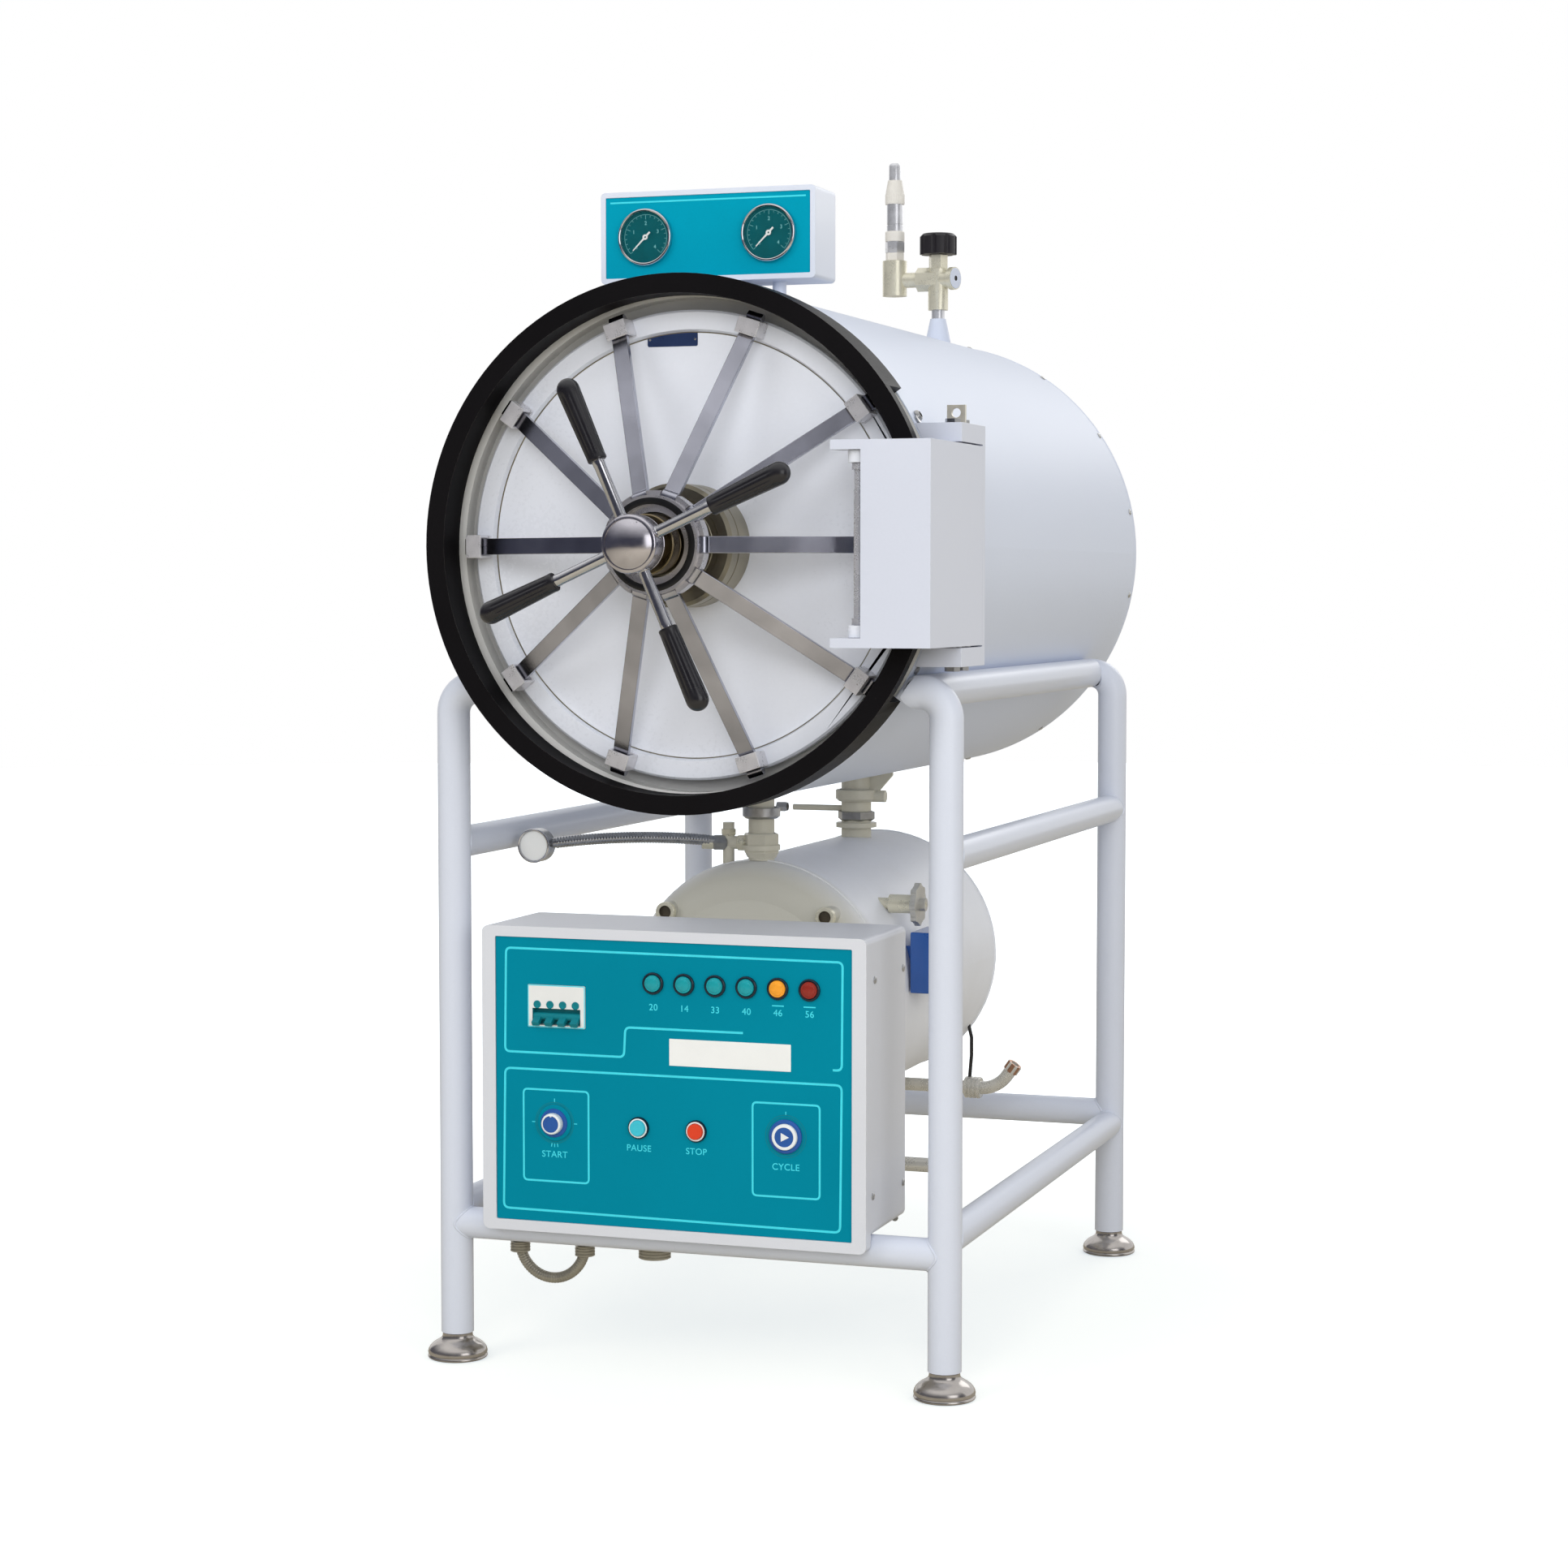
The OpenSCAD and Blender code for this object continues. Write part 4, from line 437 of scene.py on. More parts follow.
for k in range(4):
    along = Matrix.Rotation(-radians(first_rod + 90 * k), 4, "Y") @ Vector((1, 0, 0))
    turned_piece(f"handwheel_rod_{k + 1}", [(34, 8.6), (36.4, 8.6), (37.5, 7.5), (104, 7.5), (106, 7.9),
        (112, 7.9)], rod_centre, along, rod_chrome, "polished_steel", body="handwheel", sides=48)
    turned_piece(f"handwheel_grip_{k + 1}", grip, rod_centre, along, grip_black, "black_plastic",
        *["handwheel_grips"][k:], body="handwheel", flutes=(10, 0.9, 119, 200))


# Hinge: bracket, sheet-metal post, rod and fasteners
# Two thick plates welded to the shell carry a folded sheet post, bolted between them, and the door's lugs
# turn on a bright rod. Bolts, screws and a pierced lug are zinc or nickel plated, the rest is enamelled.
hinge_enamel = surface("hinge_enamel", (206, 211, 225), 0.36, drift=0.02, patch=0.3, grain=0.004,
    relief=0.02, coat=0.1, shine=0.4, worn=(170, 168, 160), worn_share=0.04)
eased("hinge_bracket", 1.0, hinge_enamel, "white_enamel")
eased("hinge_post", 0.8, hinge_enamel, "white_enamel")
dress(surface("hinge_rod_steel", (222, 223, 230), 0.26, metallic=0.6, drift=0.1, patch=0.03, grain=0.0015,
    relief=0.05, swing=0.08), "hinge_rod")
bolt_zinc = surface("bolt_zinc", (178, 178, 178), 0.32, metallic=1, drift=0.14, patch=0.01, relief=0.12,
    worn=(112, 108, 98))
lug_nickel = surface("lug_nickel", (206, 202, 190), 0.36, metallic=0.5, drift=0.1, patch=0.01)
lug_foot_z, lug_front_y, lug_back_y = 1239.5, -433, -425
eased("hinge_fasteners", 0.4, [bolt_zinc, lug_nickel], "polished_steel",
    pick=lambda at, normal: at.z > lug_foot_z and lug_front_y < at.y < lug_back_y)
socket_dark = surface("socket_shadow_oxide", (38, 36, 34), 0.6, drift=0.2, patch=0.01, grain=0.002)
side_screw_r, side_screw_y = 335.8, -445
for side, angle in (("upper", 29), ("lower", -30.5)):
    casing_screw(f"casing_screw_{side}", [(-0.5, 7), (0.4, 7.6), (2.6, 7.4), (4.6, 6), (5.4, 4.2, 1),
        (3.2, 3.8), (3.2, 0)], side_screw_r, side_screw_y, angle, [bolt_zinc, socket_dark], 32)


# Gauge box
# A folded white sheet box on two posts, with a lacquered panel set back in its frame and two round gauges
# in chromed bezels. Scales and numbers are printed on the dials. Four screws and a cable gland are behind.
def printed(name, runs, front, width, material, slot, closed=False):
    """Lines of that width in mm printed on an upright panel; runs are lists of (x, z) in mm."""
    shape = bmesh.new()
    for run in runs:
        sides = []
        count = len(run)
        for k, (x, z) in enumerate(run):
            before = run[k - 1] if k or closed else run[0]
            after = run[(k + 1) % count] if k + 1 < count or closed else run[-1]
            into = Vector((x - before[0], z - before[1]))
            onto = Vector((after[0] - x, after[1] - z))
            into = into.normalized() if into.length else onto.normalized()
            onto = onto.normalized() if onto.length else into
            square = Vector((-(into + onto).y, (into + onto).x)).normalized()
            reach = width / 2 / max(0.3, square.dot(Vector((-into.y, into.x))))
            sides.append([shape.verts.new(((x + s * reach * square.x) / 1000, front / 1000,
                (z + s * reach * square.y) / 1000)) for s in (-1, 1)])
        for k in range(count if closed else count - 1):
            (a, b), (c, d) = sides[k], sides[(k + 1) % count]
            shape.faces.new((a, c, d, b))
    for face in shape.faces:
        if face.normal.y > 0:
            face.normal_flip()
    return fitted(formed(name, shape, material), "autoclave", slot)


def lettering(name, words, front, material, slot):
    """Plain printed words and numbers: (text, height of a capital, centre x, centre z), all in mm."""
    shape = bmesh.new()
    for text, height, x, z in words:
        drawn = bpy.data.curves.new("letters", "FONT")
        drawn.body, drawn.align_x, drawn.align_y = text, "CENTER", "CENTER"
        drawn.size = height / 0.72 / 1000
        drawn.offset, drawn.space_character = 0.0001, 1.06
        typed = bpy.data.objects.new("letters", drawn)
        flat = bpy.data.meshes.new_from_object(typed)
        flat.transform(Matrix.Translation((x / 1000, front / 1000, z / 1000))
            @ Matrix.Rotation(pi / 2, 4, "X"))
        shape.from_mesh(flat)
        bpy.data.objects.remove(typed)
    return fitted(formed(name, shape, material), "autoclave", slot)


box_enamel = surface("gauge_box_enamel", (216, 223, 238), 0.36, drift=0.02, patch=0.2, grain=0.003,
    relief=0.03, coat=0.08, shine=0.4)
eased("gauge_box", 0.8, box_enamel, "white_enamel")
gauge_box_back_y = -357
pan_screws("gauge_box_rear_screw", [(x, gauge_box_back_y, z) for z in (1437, 1535) for x in (-127, 147)],
    backwards)
turned_piece("gauge_box_gland", [(-0.5, 11), (0, 11.6), (7, 11.6), (8, 10.8), (8, 8.6), (15, 8.2),
    (16, 7.4), (16, 4), (11, 3.6), (11, 0)], (10, gauge_box_back_y, 1462), backwards, screw_zinc,
    "polished_steel", sides=48)
gauge_teal = surface("gauge_panel_lacquer", (0, 152, 181), 0.44, drift=0.07, patch=0.12, grain=0.002,
    relief=0.03, shine=0.04)
dress(gauge_teal, "gauge_panel")
# Cyan ink for printed lines and words; on the gauge panel it also paints a highlight line.
cyan_ink_and_painted_highlight = surface("cyan_ink_and_painted_highlight", (58, 216, 234), 0.45, drift=0.05, relief=0.02)
gauge_panel_y = -440.5
# Painted highlight: a cyan line just below the panel's top edge, where its bevel catches the light.
printed("gauge_panel_painted_highlight", [[(-124, 1531.5), (144, 1531.5)]], gauge_panel_y - 0.2, 2.2, cyan_ink_and_painted_highlight,
    "cyan_plastic")
bezel_chrome = surface("bezel_chrome", (206, 206, 210), 0.12, metallic=1, drift=0.1, relief=0.03)
dial_teal = surface("dial_printed_teal", (2, 84, 92), 0.5, drift=0.14, relief=0.02, shine=0.05)
dial_ink = surface("dial_pale_ink", (112, 184, 188), 0.5, drift=0.05, patch=0.01, relief=0.02)
gauge_z, dial_ink_y, first_mark, sweep = 1486, -441.62, 225, 270
tick_r, tick_foot_r, long_foot_r, arc_r, number_r = 28.5, 26, 23, 29.2, 18
for k, (side, x) in enumerate((("left", -74.5), ("right", 94.5))):
    turned_piece(f"gauge_case_{side}", [(-29, 0, 0), (-29, 33.5), (-0.5, 33.5), (-0.5, 36.4), (0, 37),
        (5, 37), (6.8, 36.4), (7.8, 35.2), (8, 34.4), (7.4, 33.4), (6.4, 33), (1.2, 33), (1.0, 32.9, 1),
        (1.0, 0)], (x, gauge_panel_y, gauge_z), forwards, [bezel_chrome, dial_teal], "polished_steel",
        *["gauge_cases"][k:])
    ticks = []
    for mark in range(21):
        angle = first_mark - sweep * mark / 20
        foot_r = tick_foot_r if mark % 5 else long_foot_r
        ticks.append([on_circle(x, gauge_z, foot_r, angle), on_circle(x, gauge_z, tick_r, angle)])
    printed(f"gauge_scale_{side}", ticks, dial_ink_y, 0.6, dial_ink, "needle_white")
    arc = [on_circle(x, gauge_z, arc_r, first_mark - 5 * k) for k in range(55)]
    printed(f"gauge_arc_{side}", [arc], dial_ink_y, 0.5, dial_ink, "needle_white")
    lettering(f"gauge_numbers_{side}", [(str(n), 5, *on_circle(x, gauge_z, number_r, first_mark - 67.5 * n))
        for n in range(5)], dial_ink_y, dial_ink, "needle_white")
dress(surface("needle_white_paint", (240, 242, 242), 0.5, drift=0.03, patch=0.01, grain=0.002, relief=0.02),
    "needle_left", "needle_right")
gauge_glass = surface("gauge_glass", (60, 130, 136), 0.05, drift=0.02, grain=0.01, relief=0.01, swing=0.02,
    shine=0.12)
gauge_glass.node_tree.nodes["Principled BSDF"].inputs["Alpha"].default_value = 0.05
dress(gauge_glass, "gauge_lenses")


# Relief stack and safety valve on top of the casing
# A white cone and a short steel nipple carry nickel-plated brass fittings screwed together, with a moulded
# dark knob on the vent valve, and a spring safety valve of turned steel and ivory paint with a knurled cap.
plated_brass = surface("plated_brass", (226, 222, 202), 0.3, metallic=0.45, drift=0.08, swing=0.08,
    worn=(168, 152, 116), worn_share=0.18, worn_size=0.006)
valve_steel = surface("valve_turned_steel", (216, 217, 221), 0.3, metallic=0.6, drift=0.14, patch=0.012,
    grain=0.0008, relief=0.14, worn=(140, 136, 132), worn_share=0.25, turned=True)
cone_top_z, nipple_top_z, safety_valve_foot = 1460, 1474, (-51.5, 600, 0)
plug_centre, plug_axis = (51.8, 591.2, 1524), (0.961, -0.276, 0)
eased("vent_valve", 0.5, [plated_brass, casing_enamel, valve_steel], "valve_brass",
    pick=lambda at, normal: 1 if at.z < cone_top_z else 2 if at.z < nipple_top_z else 0)
turned_piece("stack_plug_face", [(-0.3, 15.6), (0.7, 16.4), (1.2, 15.8), (1.2, 4.6), (1.2, 4.2, 1),
    (0.3, 3.8), (0.3, 0)], plug_centre, plug_axis, [casing_enamel, socket_dark], "valve_brass", sides=64)
knob_dark = surface("knob_moulded", (36, 34, 38), 0.4, relief=0.12, shine=0.35)
eased("vent_knob", 1.0, knob_dark, "black_plastic")
valve_ivory = surface("valve_ivory_paint", (229, 226, 219), 0.4, drift=0.05, patch=0.01, relief=0.08)
for name, finish, sides, profile in (
        ("neck", valve_ivory, 6, [(1555, 0), (1555, 14.4), (1556, 15.2), (1567, 15.2), (1568, 14.4)]),
        ("nut", valve_steel, 6, [(1568, 14), (1568, 15.2), (1569.2, 16), (1585, 16), (1586, 15)]),
        ("band", valve_ivory, 96,
         [(1586, 13), (1586, 15), (1587, 15.5), (1600.5, 15.5), (1602, 14.5), (1602, 12.5)]),
        ("tube", valve_steel, 96,
         [(1602, 12.9), (1611, 12.9), (1611.6, 12.2), (1613, 12.2), (1613.6, 12.9), (1645, 12.9)]),
        ("cap", valve_ivory, 144,
         [(1645, 11), (1645, 15), (1646, 15.6), (1660, 15.6), (1661, 15.1), (1664, 14.6), (1680, 11.8),
          (1683, 11.4), (1683, 9)]),
        ("tip", valve_steel, 96, [(1683, 9.7), (1705, 9.7), (1708, 9), (1710, 7), (1710, 0)])):
    turned_piece(f"safety_valve_{name}", profile, safety_valve_foot, upwards, finish,
        "valve_brass" if finish is valve_ivory else "polished_steel",
        *(["safety_valve"] if name == "neck" else []), sides=sides,
        flutes=(36, 0.7, 1646, 1660) if name == "cap" else None)


# Control box and its panel
# A folded sheet box with a thick front frame, enamelled light grey, and a teal printed panel with plain
# words, cyan lines and a bare white plate. Four screws hold each side and the louvred back.
def bent(points, r, closed=False, steps=5):
    """A run of (x, z) points with its corners rounded to r mm."""
    out = []
    for k, corner in enumerate(points):
        if not closed and k in (0, len(points) - 1):
            out.append(corner)
            continue
        here = Vector(corner)
        back = (Vector(points[k - 1]) - here).normalized()
        on = (Vector(points[(k + 1) % len(points)]) - here).normalized()
        start, end = here + back * r, here + on * r
        for s in range(steps + 1):
            t = s / steps
            spot = start * (1 - t) ** 2 + here * 2 * t * (1 - t) + end * t * t
            out.append((spot.x, spot.y))
    return out


grey_enamel = surface("box_grey_enamel", (212, 215, 223), 0.38, drift=0.02, patch=0.25, grain=0.003,
    relief=0.04, coat=0.08, shine=0.4, worn=(170, 168, 162), worn_share=0.04)
eased("control_box", 1.2, grey_enamel, "grey_enamel")
box_left_x, box_right_x, box_back_y = -282, 248, -337
for k, (y, z) in enumerate(((-474, 534), (-348, 535), (-481, 257), (-347, 251))):
    for side, x, out in (("right", box_right_x, 1), ("left", box_left_x, -1)):
        turned_piece(f"box_screw_{side}_{k + 1}", [(-0.5, 5), (0.5, 5), (1.4, 4.4), (2, 3.2), (2.1, 1.6),
            (1.5, 1.2), (1.5, 0)], (x, y, z), (out, 0, 0), bolt_zinc, "polished_steel", sides=32)
pan_screws("box_rear_screw", [(x, box_back_y, z) for z in (201, 576) for x in (-268, 234)], backwards)
louvre_xs, louvre_z, louvre_pitch, louvre_w, louvre_h = (-252, 148), 232, 12, 70, 5
for k in range(14):
    x, z = louvre_xs[k % 2], louvre_z + louvre_pitch * (k // 2)
    flat_plate(f"box_louvre_{k + 1:02d}", round_cornered(x, z, x + louvre_w, z + louvre_h, 2.4, 3),
        box_back_y - 1, 3.4, grey_enamel, "grey_enamel", ease=1.2)
panel_teal = surface("panel_printed_teal", (0, 131, 156), 0.46, drift=0.05, patch=0.22, grain=0.0016,
    relief=0.03, shine=0.04)
dress(panel_teal, "control_panel")
panel_y = -508
ink_y, plate_face_y = panel_y - 0.15, panel_y - 0.6
for name, r, width, corners in (("upper", 7, 3, [(203, 421), (215, 421), (216, 559), (-248, 561),
        (-250, 424), (-82, 424), (-80, 463), (82, 463)]), ("lower", 8, 3,
        [(-250, 402), (215, 402), (213, 213), (-253, 216)]),
        ("start", 6, 2.6, [(-224, 375.6), (-132, 375.6), (-132, 255), (-224, 255)]),
        ("cycle", 6, 2.6, [(95, 374.5), (185.6, 374.5), (185.6, 254), (95, 254)])):
    closed = name != "upper"
    printed(f"panel_line_{name}", [bent(corners, r, closed)], ink_y, width, cyan_ink_and_painted_highlight, "cyan_plastic",
        closed)
plate_white = surface("bare_plate_white", (236, 238, 238), 0.4, drift=0.03, patch=0.05, relief=0.03,
    coat=0.2)
flat_plate("panel_bare_plate", round_cornered(-19, 416, 147, 451, 0.8), plate_face_y, 0.6, plate_white,
    "white_enamel")
first_lamp_x, lamp_pitch, number_z, bar_z, bar_reach = -41, 42.6, 490.5, 500, 8
lamp_xs = [first_lamp_x + lamp_pitch * k for k in range(6)]
start_x, pause_x, stop_x, cycle_x, button_z = -180, -61.5, 18, 140, 332.5
words = [(text, 8.6, x, number_z) for text, x in zip(("20", "14", "33", "40", "46", "56"), lamp_xs)]
words += [("START", 8.6, start_x, 290.5), ("PAUSE", 8.4, pause_x, 305.5), ("STOP", 8.4, stop_x, 305.5),
    ("CYCLE", 8.6, cycle_x, 292.5)]
lettering("panel_lettering", words, ink_y, cyan_ink_and_painted_highlight, "cyan_plastic")
printed("panel_lamp_bars", [[(x - bar_reach, bar_z), (x + bar_reach, bar_z)] for x in lamp_xs[4:]], ink_y,
    1.6, cyan_ink_and_painted_highlight, "cyan_plastic")


# Breaker
# A moulded four-pole breaker in the panel's window, white above and teal round the trough, with four tied
# levers that stand at OFF and four small screw heads above them.
case_white = surface("breaker_white", (226, 228, 228), 0.4, drift=0.03, patch=0.03, relief=0.05)
case_teal = surface("breaker_teal", (8, 122, 134), 0.42, drift=0.08, patch=0.03, relief=0.05, shine=0.25)
breaker_y, head_x, head_pitch, head_z = panel_y - 1, -203.5, 18, 488
trough_y, trough_z = (-508.9, -480), (461.5, 482.5)
eased("breaker", 0.6, [case_white, case_teal], "white_plastic",
    pick=lambda at, normal: trough_y[0] < at.y < trough_y[1] and trough_z[0] < at.z < trough_z[1])
border = [(-216.2, 513.2), (-136.8, 513.2), (-136.8, 458.8), (-216.2, 458.8)]
printed("breaker_border", [bent(border, 2, True)], breaker_y - 0.15, 1.2, cyan_ink_and_painted_highlight, "teal_plastic", True)
for k in range(4):
    turned_piece(f"breaker_head_{k + 1}", [(-0.3, 5.2), (0.5, 5.2), (0.9, 4.8), (1.1, 3.6), (0.9, 3.2),
        (0.9, 0)], (head_x + head_pitch * k, breaker_y, head_z), forwards, case_teal, "teal_plastic",
        sides=32)
eased("breaker_toggle", 0.5, case_teal, "teal_plastic")


# Pilot lamps
# Turned black bezels with a moulded lens in each: four teal, one amber and one red.
bezel_black = surface("lamp_bezel_black", (16, 34, 48), 0.24, drift=0.2, relief=0.05, shine=0.4)
lens_teal, lens_amber, lens_red = [
    surface(f"lamp_lens_{tint}", colour, 0.24, patch=0.01, grain=0.002, relief=0.04, shine=0.4)
    for tint, colour in (("teal", (22, 152, 162)), ("amber", (240, 160, 46)), ("red", (142, 42, 32)))]
lamp_z = 522
lamp_dome = [(1, 11), (3.6, 11), (4.6, 10.7), (5.2, 10.1), (5.3, 9.4), (5.1, 8.9), (5.2, 8.6)]
lamp_dome += [(5.2 + 1.7 * cos(radians(a)), 8.6 * sin(radians(a))) for a in range(80, -1, -10)]
for k, (x, tint) in enumerate(zip(lamp_xs, [lens_teal] * 4 + [lens_amber, lens_red])):
    turned_piece(f"lamp_bezel_{k + 1}", [(-0.2, 14.3), (1.5, 14.5), (3, 14.1), (3.9, 13), (4, 12.2),
        (3.6, 11.5), (2, 11.1)], (x, panel_y, lamp_z), forwards, bezel_black, "lamp_plastic",
        *["lamps"][k:], sides=64)
    turned_piece(f"lamp_lens_{k + 1}", lamp_dome, (x, panel_y, lamp_z), forwards, tint, "lamp_plastic",
        sides=64)


# START knob and push buttons
# Bezels of turned and lacquered metal round moulded caps. START is a rotary knob with printed rings and
# ticks round it, PAUSE and STOP are small round buttons, and CYCLE is a large one with a white arrow.
def panel_rings(name, x, radii):
    """Printed circles round a button."""
    printed(name, [[on_circle(x, button_z, r, 6 * k) for k in range(60)] for r in radii], ink_y, 0.8,
        case_teal, "teal_plastic", True)


cap_blue = surface("cap_blue", (40, 86, 160), 0.32, drift=0.1, relief=0.05, shine=0.3)
cap_white = surface("cap_white", (232, 236, 238), 0.35, drift=0.04, relief=0.04, coat=0.2)
cap_cyan, cap_red = [
    surface(f"cap_{tint}", colour, 0.32, drift=0.06, relief=0.04, shine=0.3)
    for tint, colour in (("cyan", (62, 192, 212)), ("red", (218, 66, 36)))]
knob_y = -512.3
turned_piece("start_bezel", [(-0.2, 24), (1.2, 24), (2.2, 22.6), (2.4, 19, 1), (3.8, 18.4), (4, 17.6),
    (4, 4.1)], (start_x, panel_y, button_z), forwards, [panel_teal, cap_blue], "blue_plastic",
    "button_bezels")
panel_rings("start_rings", start_x, (27, 24.8))
printed("start_ticks", [[on_circle(start_x, button_z, r, a) for r in (27, 32)]
    for a in (0, 90, 180, 262, 270, 278)], ink_y, 1.2, cyan_ink_and_painted_highlight, "cyan_plastic")
turned_piece("start_knob_cap", [(0, 4), (0, 13.5), (1, 14), (7, 14), (8.8, 13.4), (9.6, 12.6), (10, 11.4),
    (9.8, 10.9, 1), (9.2, 10.6), (9.2, 0)], (start_x, knob_y, button_z), forwards, [cap_white, cap_blue],
    "blue_plastic", "start_knob", body="start_knob", flutes=(24, 0.5, 1, 7), sides=144)
turned_piece("start_knob_dot", [(-0.2, 1.5), (0.2, 1.5), (0.4, 1.1), (0.45, 0)],
    (start_x, knob_y - 9.3, button_z + 10.7), forwards, cap_white, "white_plastic", body="start_knob",
    sides=24)
for name, x, tint, slot in (
        ("pause", pause_x, cap_cyan, "cyan_plastic"),
        ("stop", stop_x, cap_red, "red_plastic")):
    turned_piece(f"{name}_bezel", [(-0.2, 14.4), (2.4, 14.4), (3.6, 13.8), (4, 13), (4, 12.6, 1),
        (3.9, 10.7, 1)], (x, panel_y, button_z), forwards, [bezel_black, cap_white], "black_plastic",
        sides=64)
    turned_piece(f"{name}_cap", [(0, 10.4), (6.4, 10.4), (7.5, 9.8), (7.9, 8.8), (7.6, 7), (7.4, 0)],
        (x, panel_y, button_z), forwards, tint, slot, f"{name}_button", body=f"{name}_button", sides=64)
turned_piece("cycle_bezel", [(-0.2, 22), (2.6, 22), (3.6, 21.2), (4, 20.2), (4, 19.6), (3.9, 17.1)],
    (cycle_x, panel_y, button_z), forwards, cap_blue, "blue_plastic")
turned_piece("cycle_cap", [(0, 16.9), (6.6, 16.9), (7.6, 16.3), (7.9, 15.4), (7.9, 13), (7.7, 12.7, 1),
    (7.5, 0)], (cycle_x, panel_y, button_z), forwards, [cap_white, cap_blue], "blue_plastic",
    "cycle_button", body="cycle_button")
flat_plate("cycle_arrow", [(cycle_x - 4.2, button_z - 5.7), (cycle_x + 6.8, button_z),
    (cycle_x - 4.2, button_z + 5.7)], panel_y - 7.95, 0.5, cap_white, "white_plastic", body="cycle_button",
    ease=0.1)
panel_rings("cycle_rings", cycle_x, (24.4, 27.4))
printed("cycle_ticks", [[(cycle_x, button_z + 27.4), (cycle_x, button_z + 32)]], ink_y, 1.2, cyan_ink_and_painted_highlight,
    "cyan_plastic")


# Steam generator, heaters and columns
# A welded pressure tank in light grey paint, with painted shade darkening and warming its front head,
# hangs on two standing pipes with screwed fittings of plated brass. Three heating rods go in through a
# bolted flange at its rear.
tank_z, seam_r, flange_bolt_r = 473, 185.2, 53
front_column_y, rear_column_y = -200, 235
tank_grey = surface("tank_grey_paint", (235, 238, 245), 0.42, drift=0.04, patch=0.15, grain=0.004,
    relief=0.06, swing=0.06, shine=0.35, worn=(150, 146, 136), worn_share=0.08)
tank_tree = tank_grey.node_tree
tank_colour = tank_tree.nodes["Principled BSDF"].inputs["Base Color"]
# Painted shade: towards the front head the paint turns three quarters of the way to a darker, warmer grey.
depth = wired(tank_tree, "SeparateXYZ", {0: wired(tank_tree, "TexCoord")["Object"]})["Y"]
head_shade_share = wired(tank_tree, "MapRange", {"Value": depth, "From Min": -0.19, "From Max": -0.25, "To Max": 0.75})
head_shaded_colour = wired(tank_tree, "Mix", {0: head_shade_share["Result"], 6: tank_colour.links[0].from_socket,
    7: (*paint_chart(176, 172, 150), 1)}, data_type="RGBA")[2]
tank_tree.links.new(head_shaded_colour, tank_colour)
dress(tank_grey, "steam_generator")
tank_circle = [on_circle(0, tank_z, seam_r, 2 * k) for k in range(180)]
for end, y in (("front", -211), ("rear", 354)):
    wire(f"tank_seam_{end}", [[(x, y, z) for x, z in tank_circle]], 1.6, tank_grey, "tank_steel", swell=0.1)
tank_plug_y, tank_plug_z = -264, 589
plug_shade = surface("plug_socket_shade", (92, 84, 70), 0.5, metallic=0.4, drift=0.2, patch=0.01,
    grain=0.002)
for side, x in (("left", -115), ("right", 115)):
    turned_piece(f"tank_plug_{side}", [(-0.2, 12), (0, 13.6), (8, 13.6), (9, 12.6), (9, 9), (8, 8.4, 1),
        (3, 8.2), (3, 0)], (x, tank_plug_y, tank_plug_z), forwards, [plated_brass, plug_shade],
        "tank_steel", sides=48)
heater_copper = surface("heater_copper", (176, 134, 110), 0.34, metallic=0.8, drift=0.14, grain=0.002,
    worn=(96, 70, 54))
flange_steel = surface("flange_turned_steel", (150, 150, 150), 0.36, metallic=1, drift=0.14, patch=0.03,
    grain=0.0012, relief=0.14, worn=(112, 104, 92), worn_share=0.25)
flange_front_y, flange_back_y = 425, 450
eased("heaters", 0.8, [flange_steel, heater_copper], "heater_copper",
    pick=lambda at, normal: at.y < flange_front_y)
for k in range(8):
    x, z = on_circle(0, tank_z, flange_bolt_r, 22.5 + 45 * k)
    turned_piece(f"heater_bolt_{k + 1}", [(0, 5), (0.3, 5.6), (4.4, 5.6), (5, 5), (5, 3.2), (6.5, 3),
        (7, 2.4), (7, 0)], (x, flange_back_y, z), backwards, bolt_zinc, "polished_steel", sides=6)
for k, (x, dz) in enumerate([(x, dz) for x in (-18, 18) for dz in (-30, 0, 30)]):
    turned_piece(f"heater_terminal_{k + 1}", [(0, 6), (5, 6), (5, 5), (9, 5), (9, 2), (16, 2), (16.5, 1.4),
        (16.5, 0)], (x, flange_back_y, tank_z + dz), backwards, plated_brass, "valve_brass", sides=24)
column_paint = surface("column_paint", (204, 201, 186), 0.34, drift=0.05, patch=0.08, grain=0.002,
    relief=0.08, coat=0.15, worn=(150, 138, 112), worn_share=0.14)
eased("steam_columns", 0.4, column_paint, "valve_brass")
nut_shares = [(-0.2, 0.84), (0, 0.95), (0.06, 1), (0.94, 1), (1, 0.95), (1.01, 0.84)]
for name, place, axis, long, wide, finish, sides in (
        ("column_front_union", (0, front_column_y, 667), upwards, 28, 25, column_paint, 6),
        ("column_front_flange", (0, front_column_y, 718), upwards, 13, 26, bolt_zinc, 64),
        ("column_rear_collar", (0, rear_column_y, 714), upwards, 15, 31, column_paint, 64),
        ("column_rear_union", (0, rear_column_y, 684), upwards, 12, 29, bolt_zinc, 6),
        ("tee_nut", (-22, front_column_y, 681), (-1, 0, 0), 11, 12, plated_brass, 6),
        ("hose_nut", (-52, -202, 681), (-1, -0.25, 0), 16, 11.5, bolt_zinc, 6),
        ("hose_ferrule", (-68, -206, 681), (-1, -0.42, 0.05), 16, 9.6, plated_brass, 64),
        ("cock_nut", (-48, front_column_y, 692), upwards, 8, 10.5, plated_brass, 6),
        ("lever_nut", (-112, rear_column_y, 700), (-1, 0, 0), 14, 8, bolt_zinc, 6)):
    turned_piece(name, [(d * long, r * wide) for d, r in nut_shares], place, axis, finish, "valve_brass",
        sides=sides)


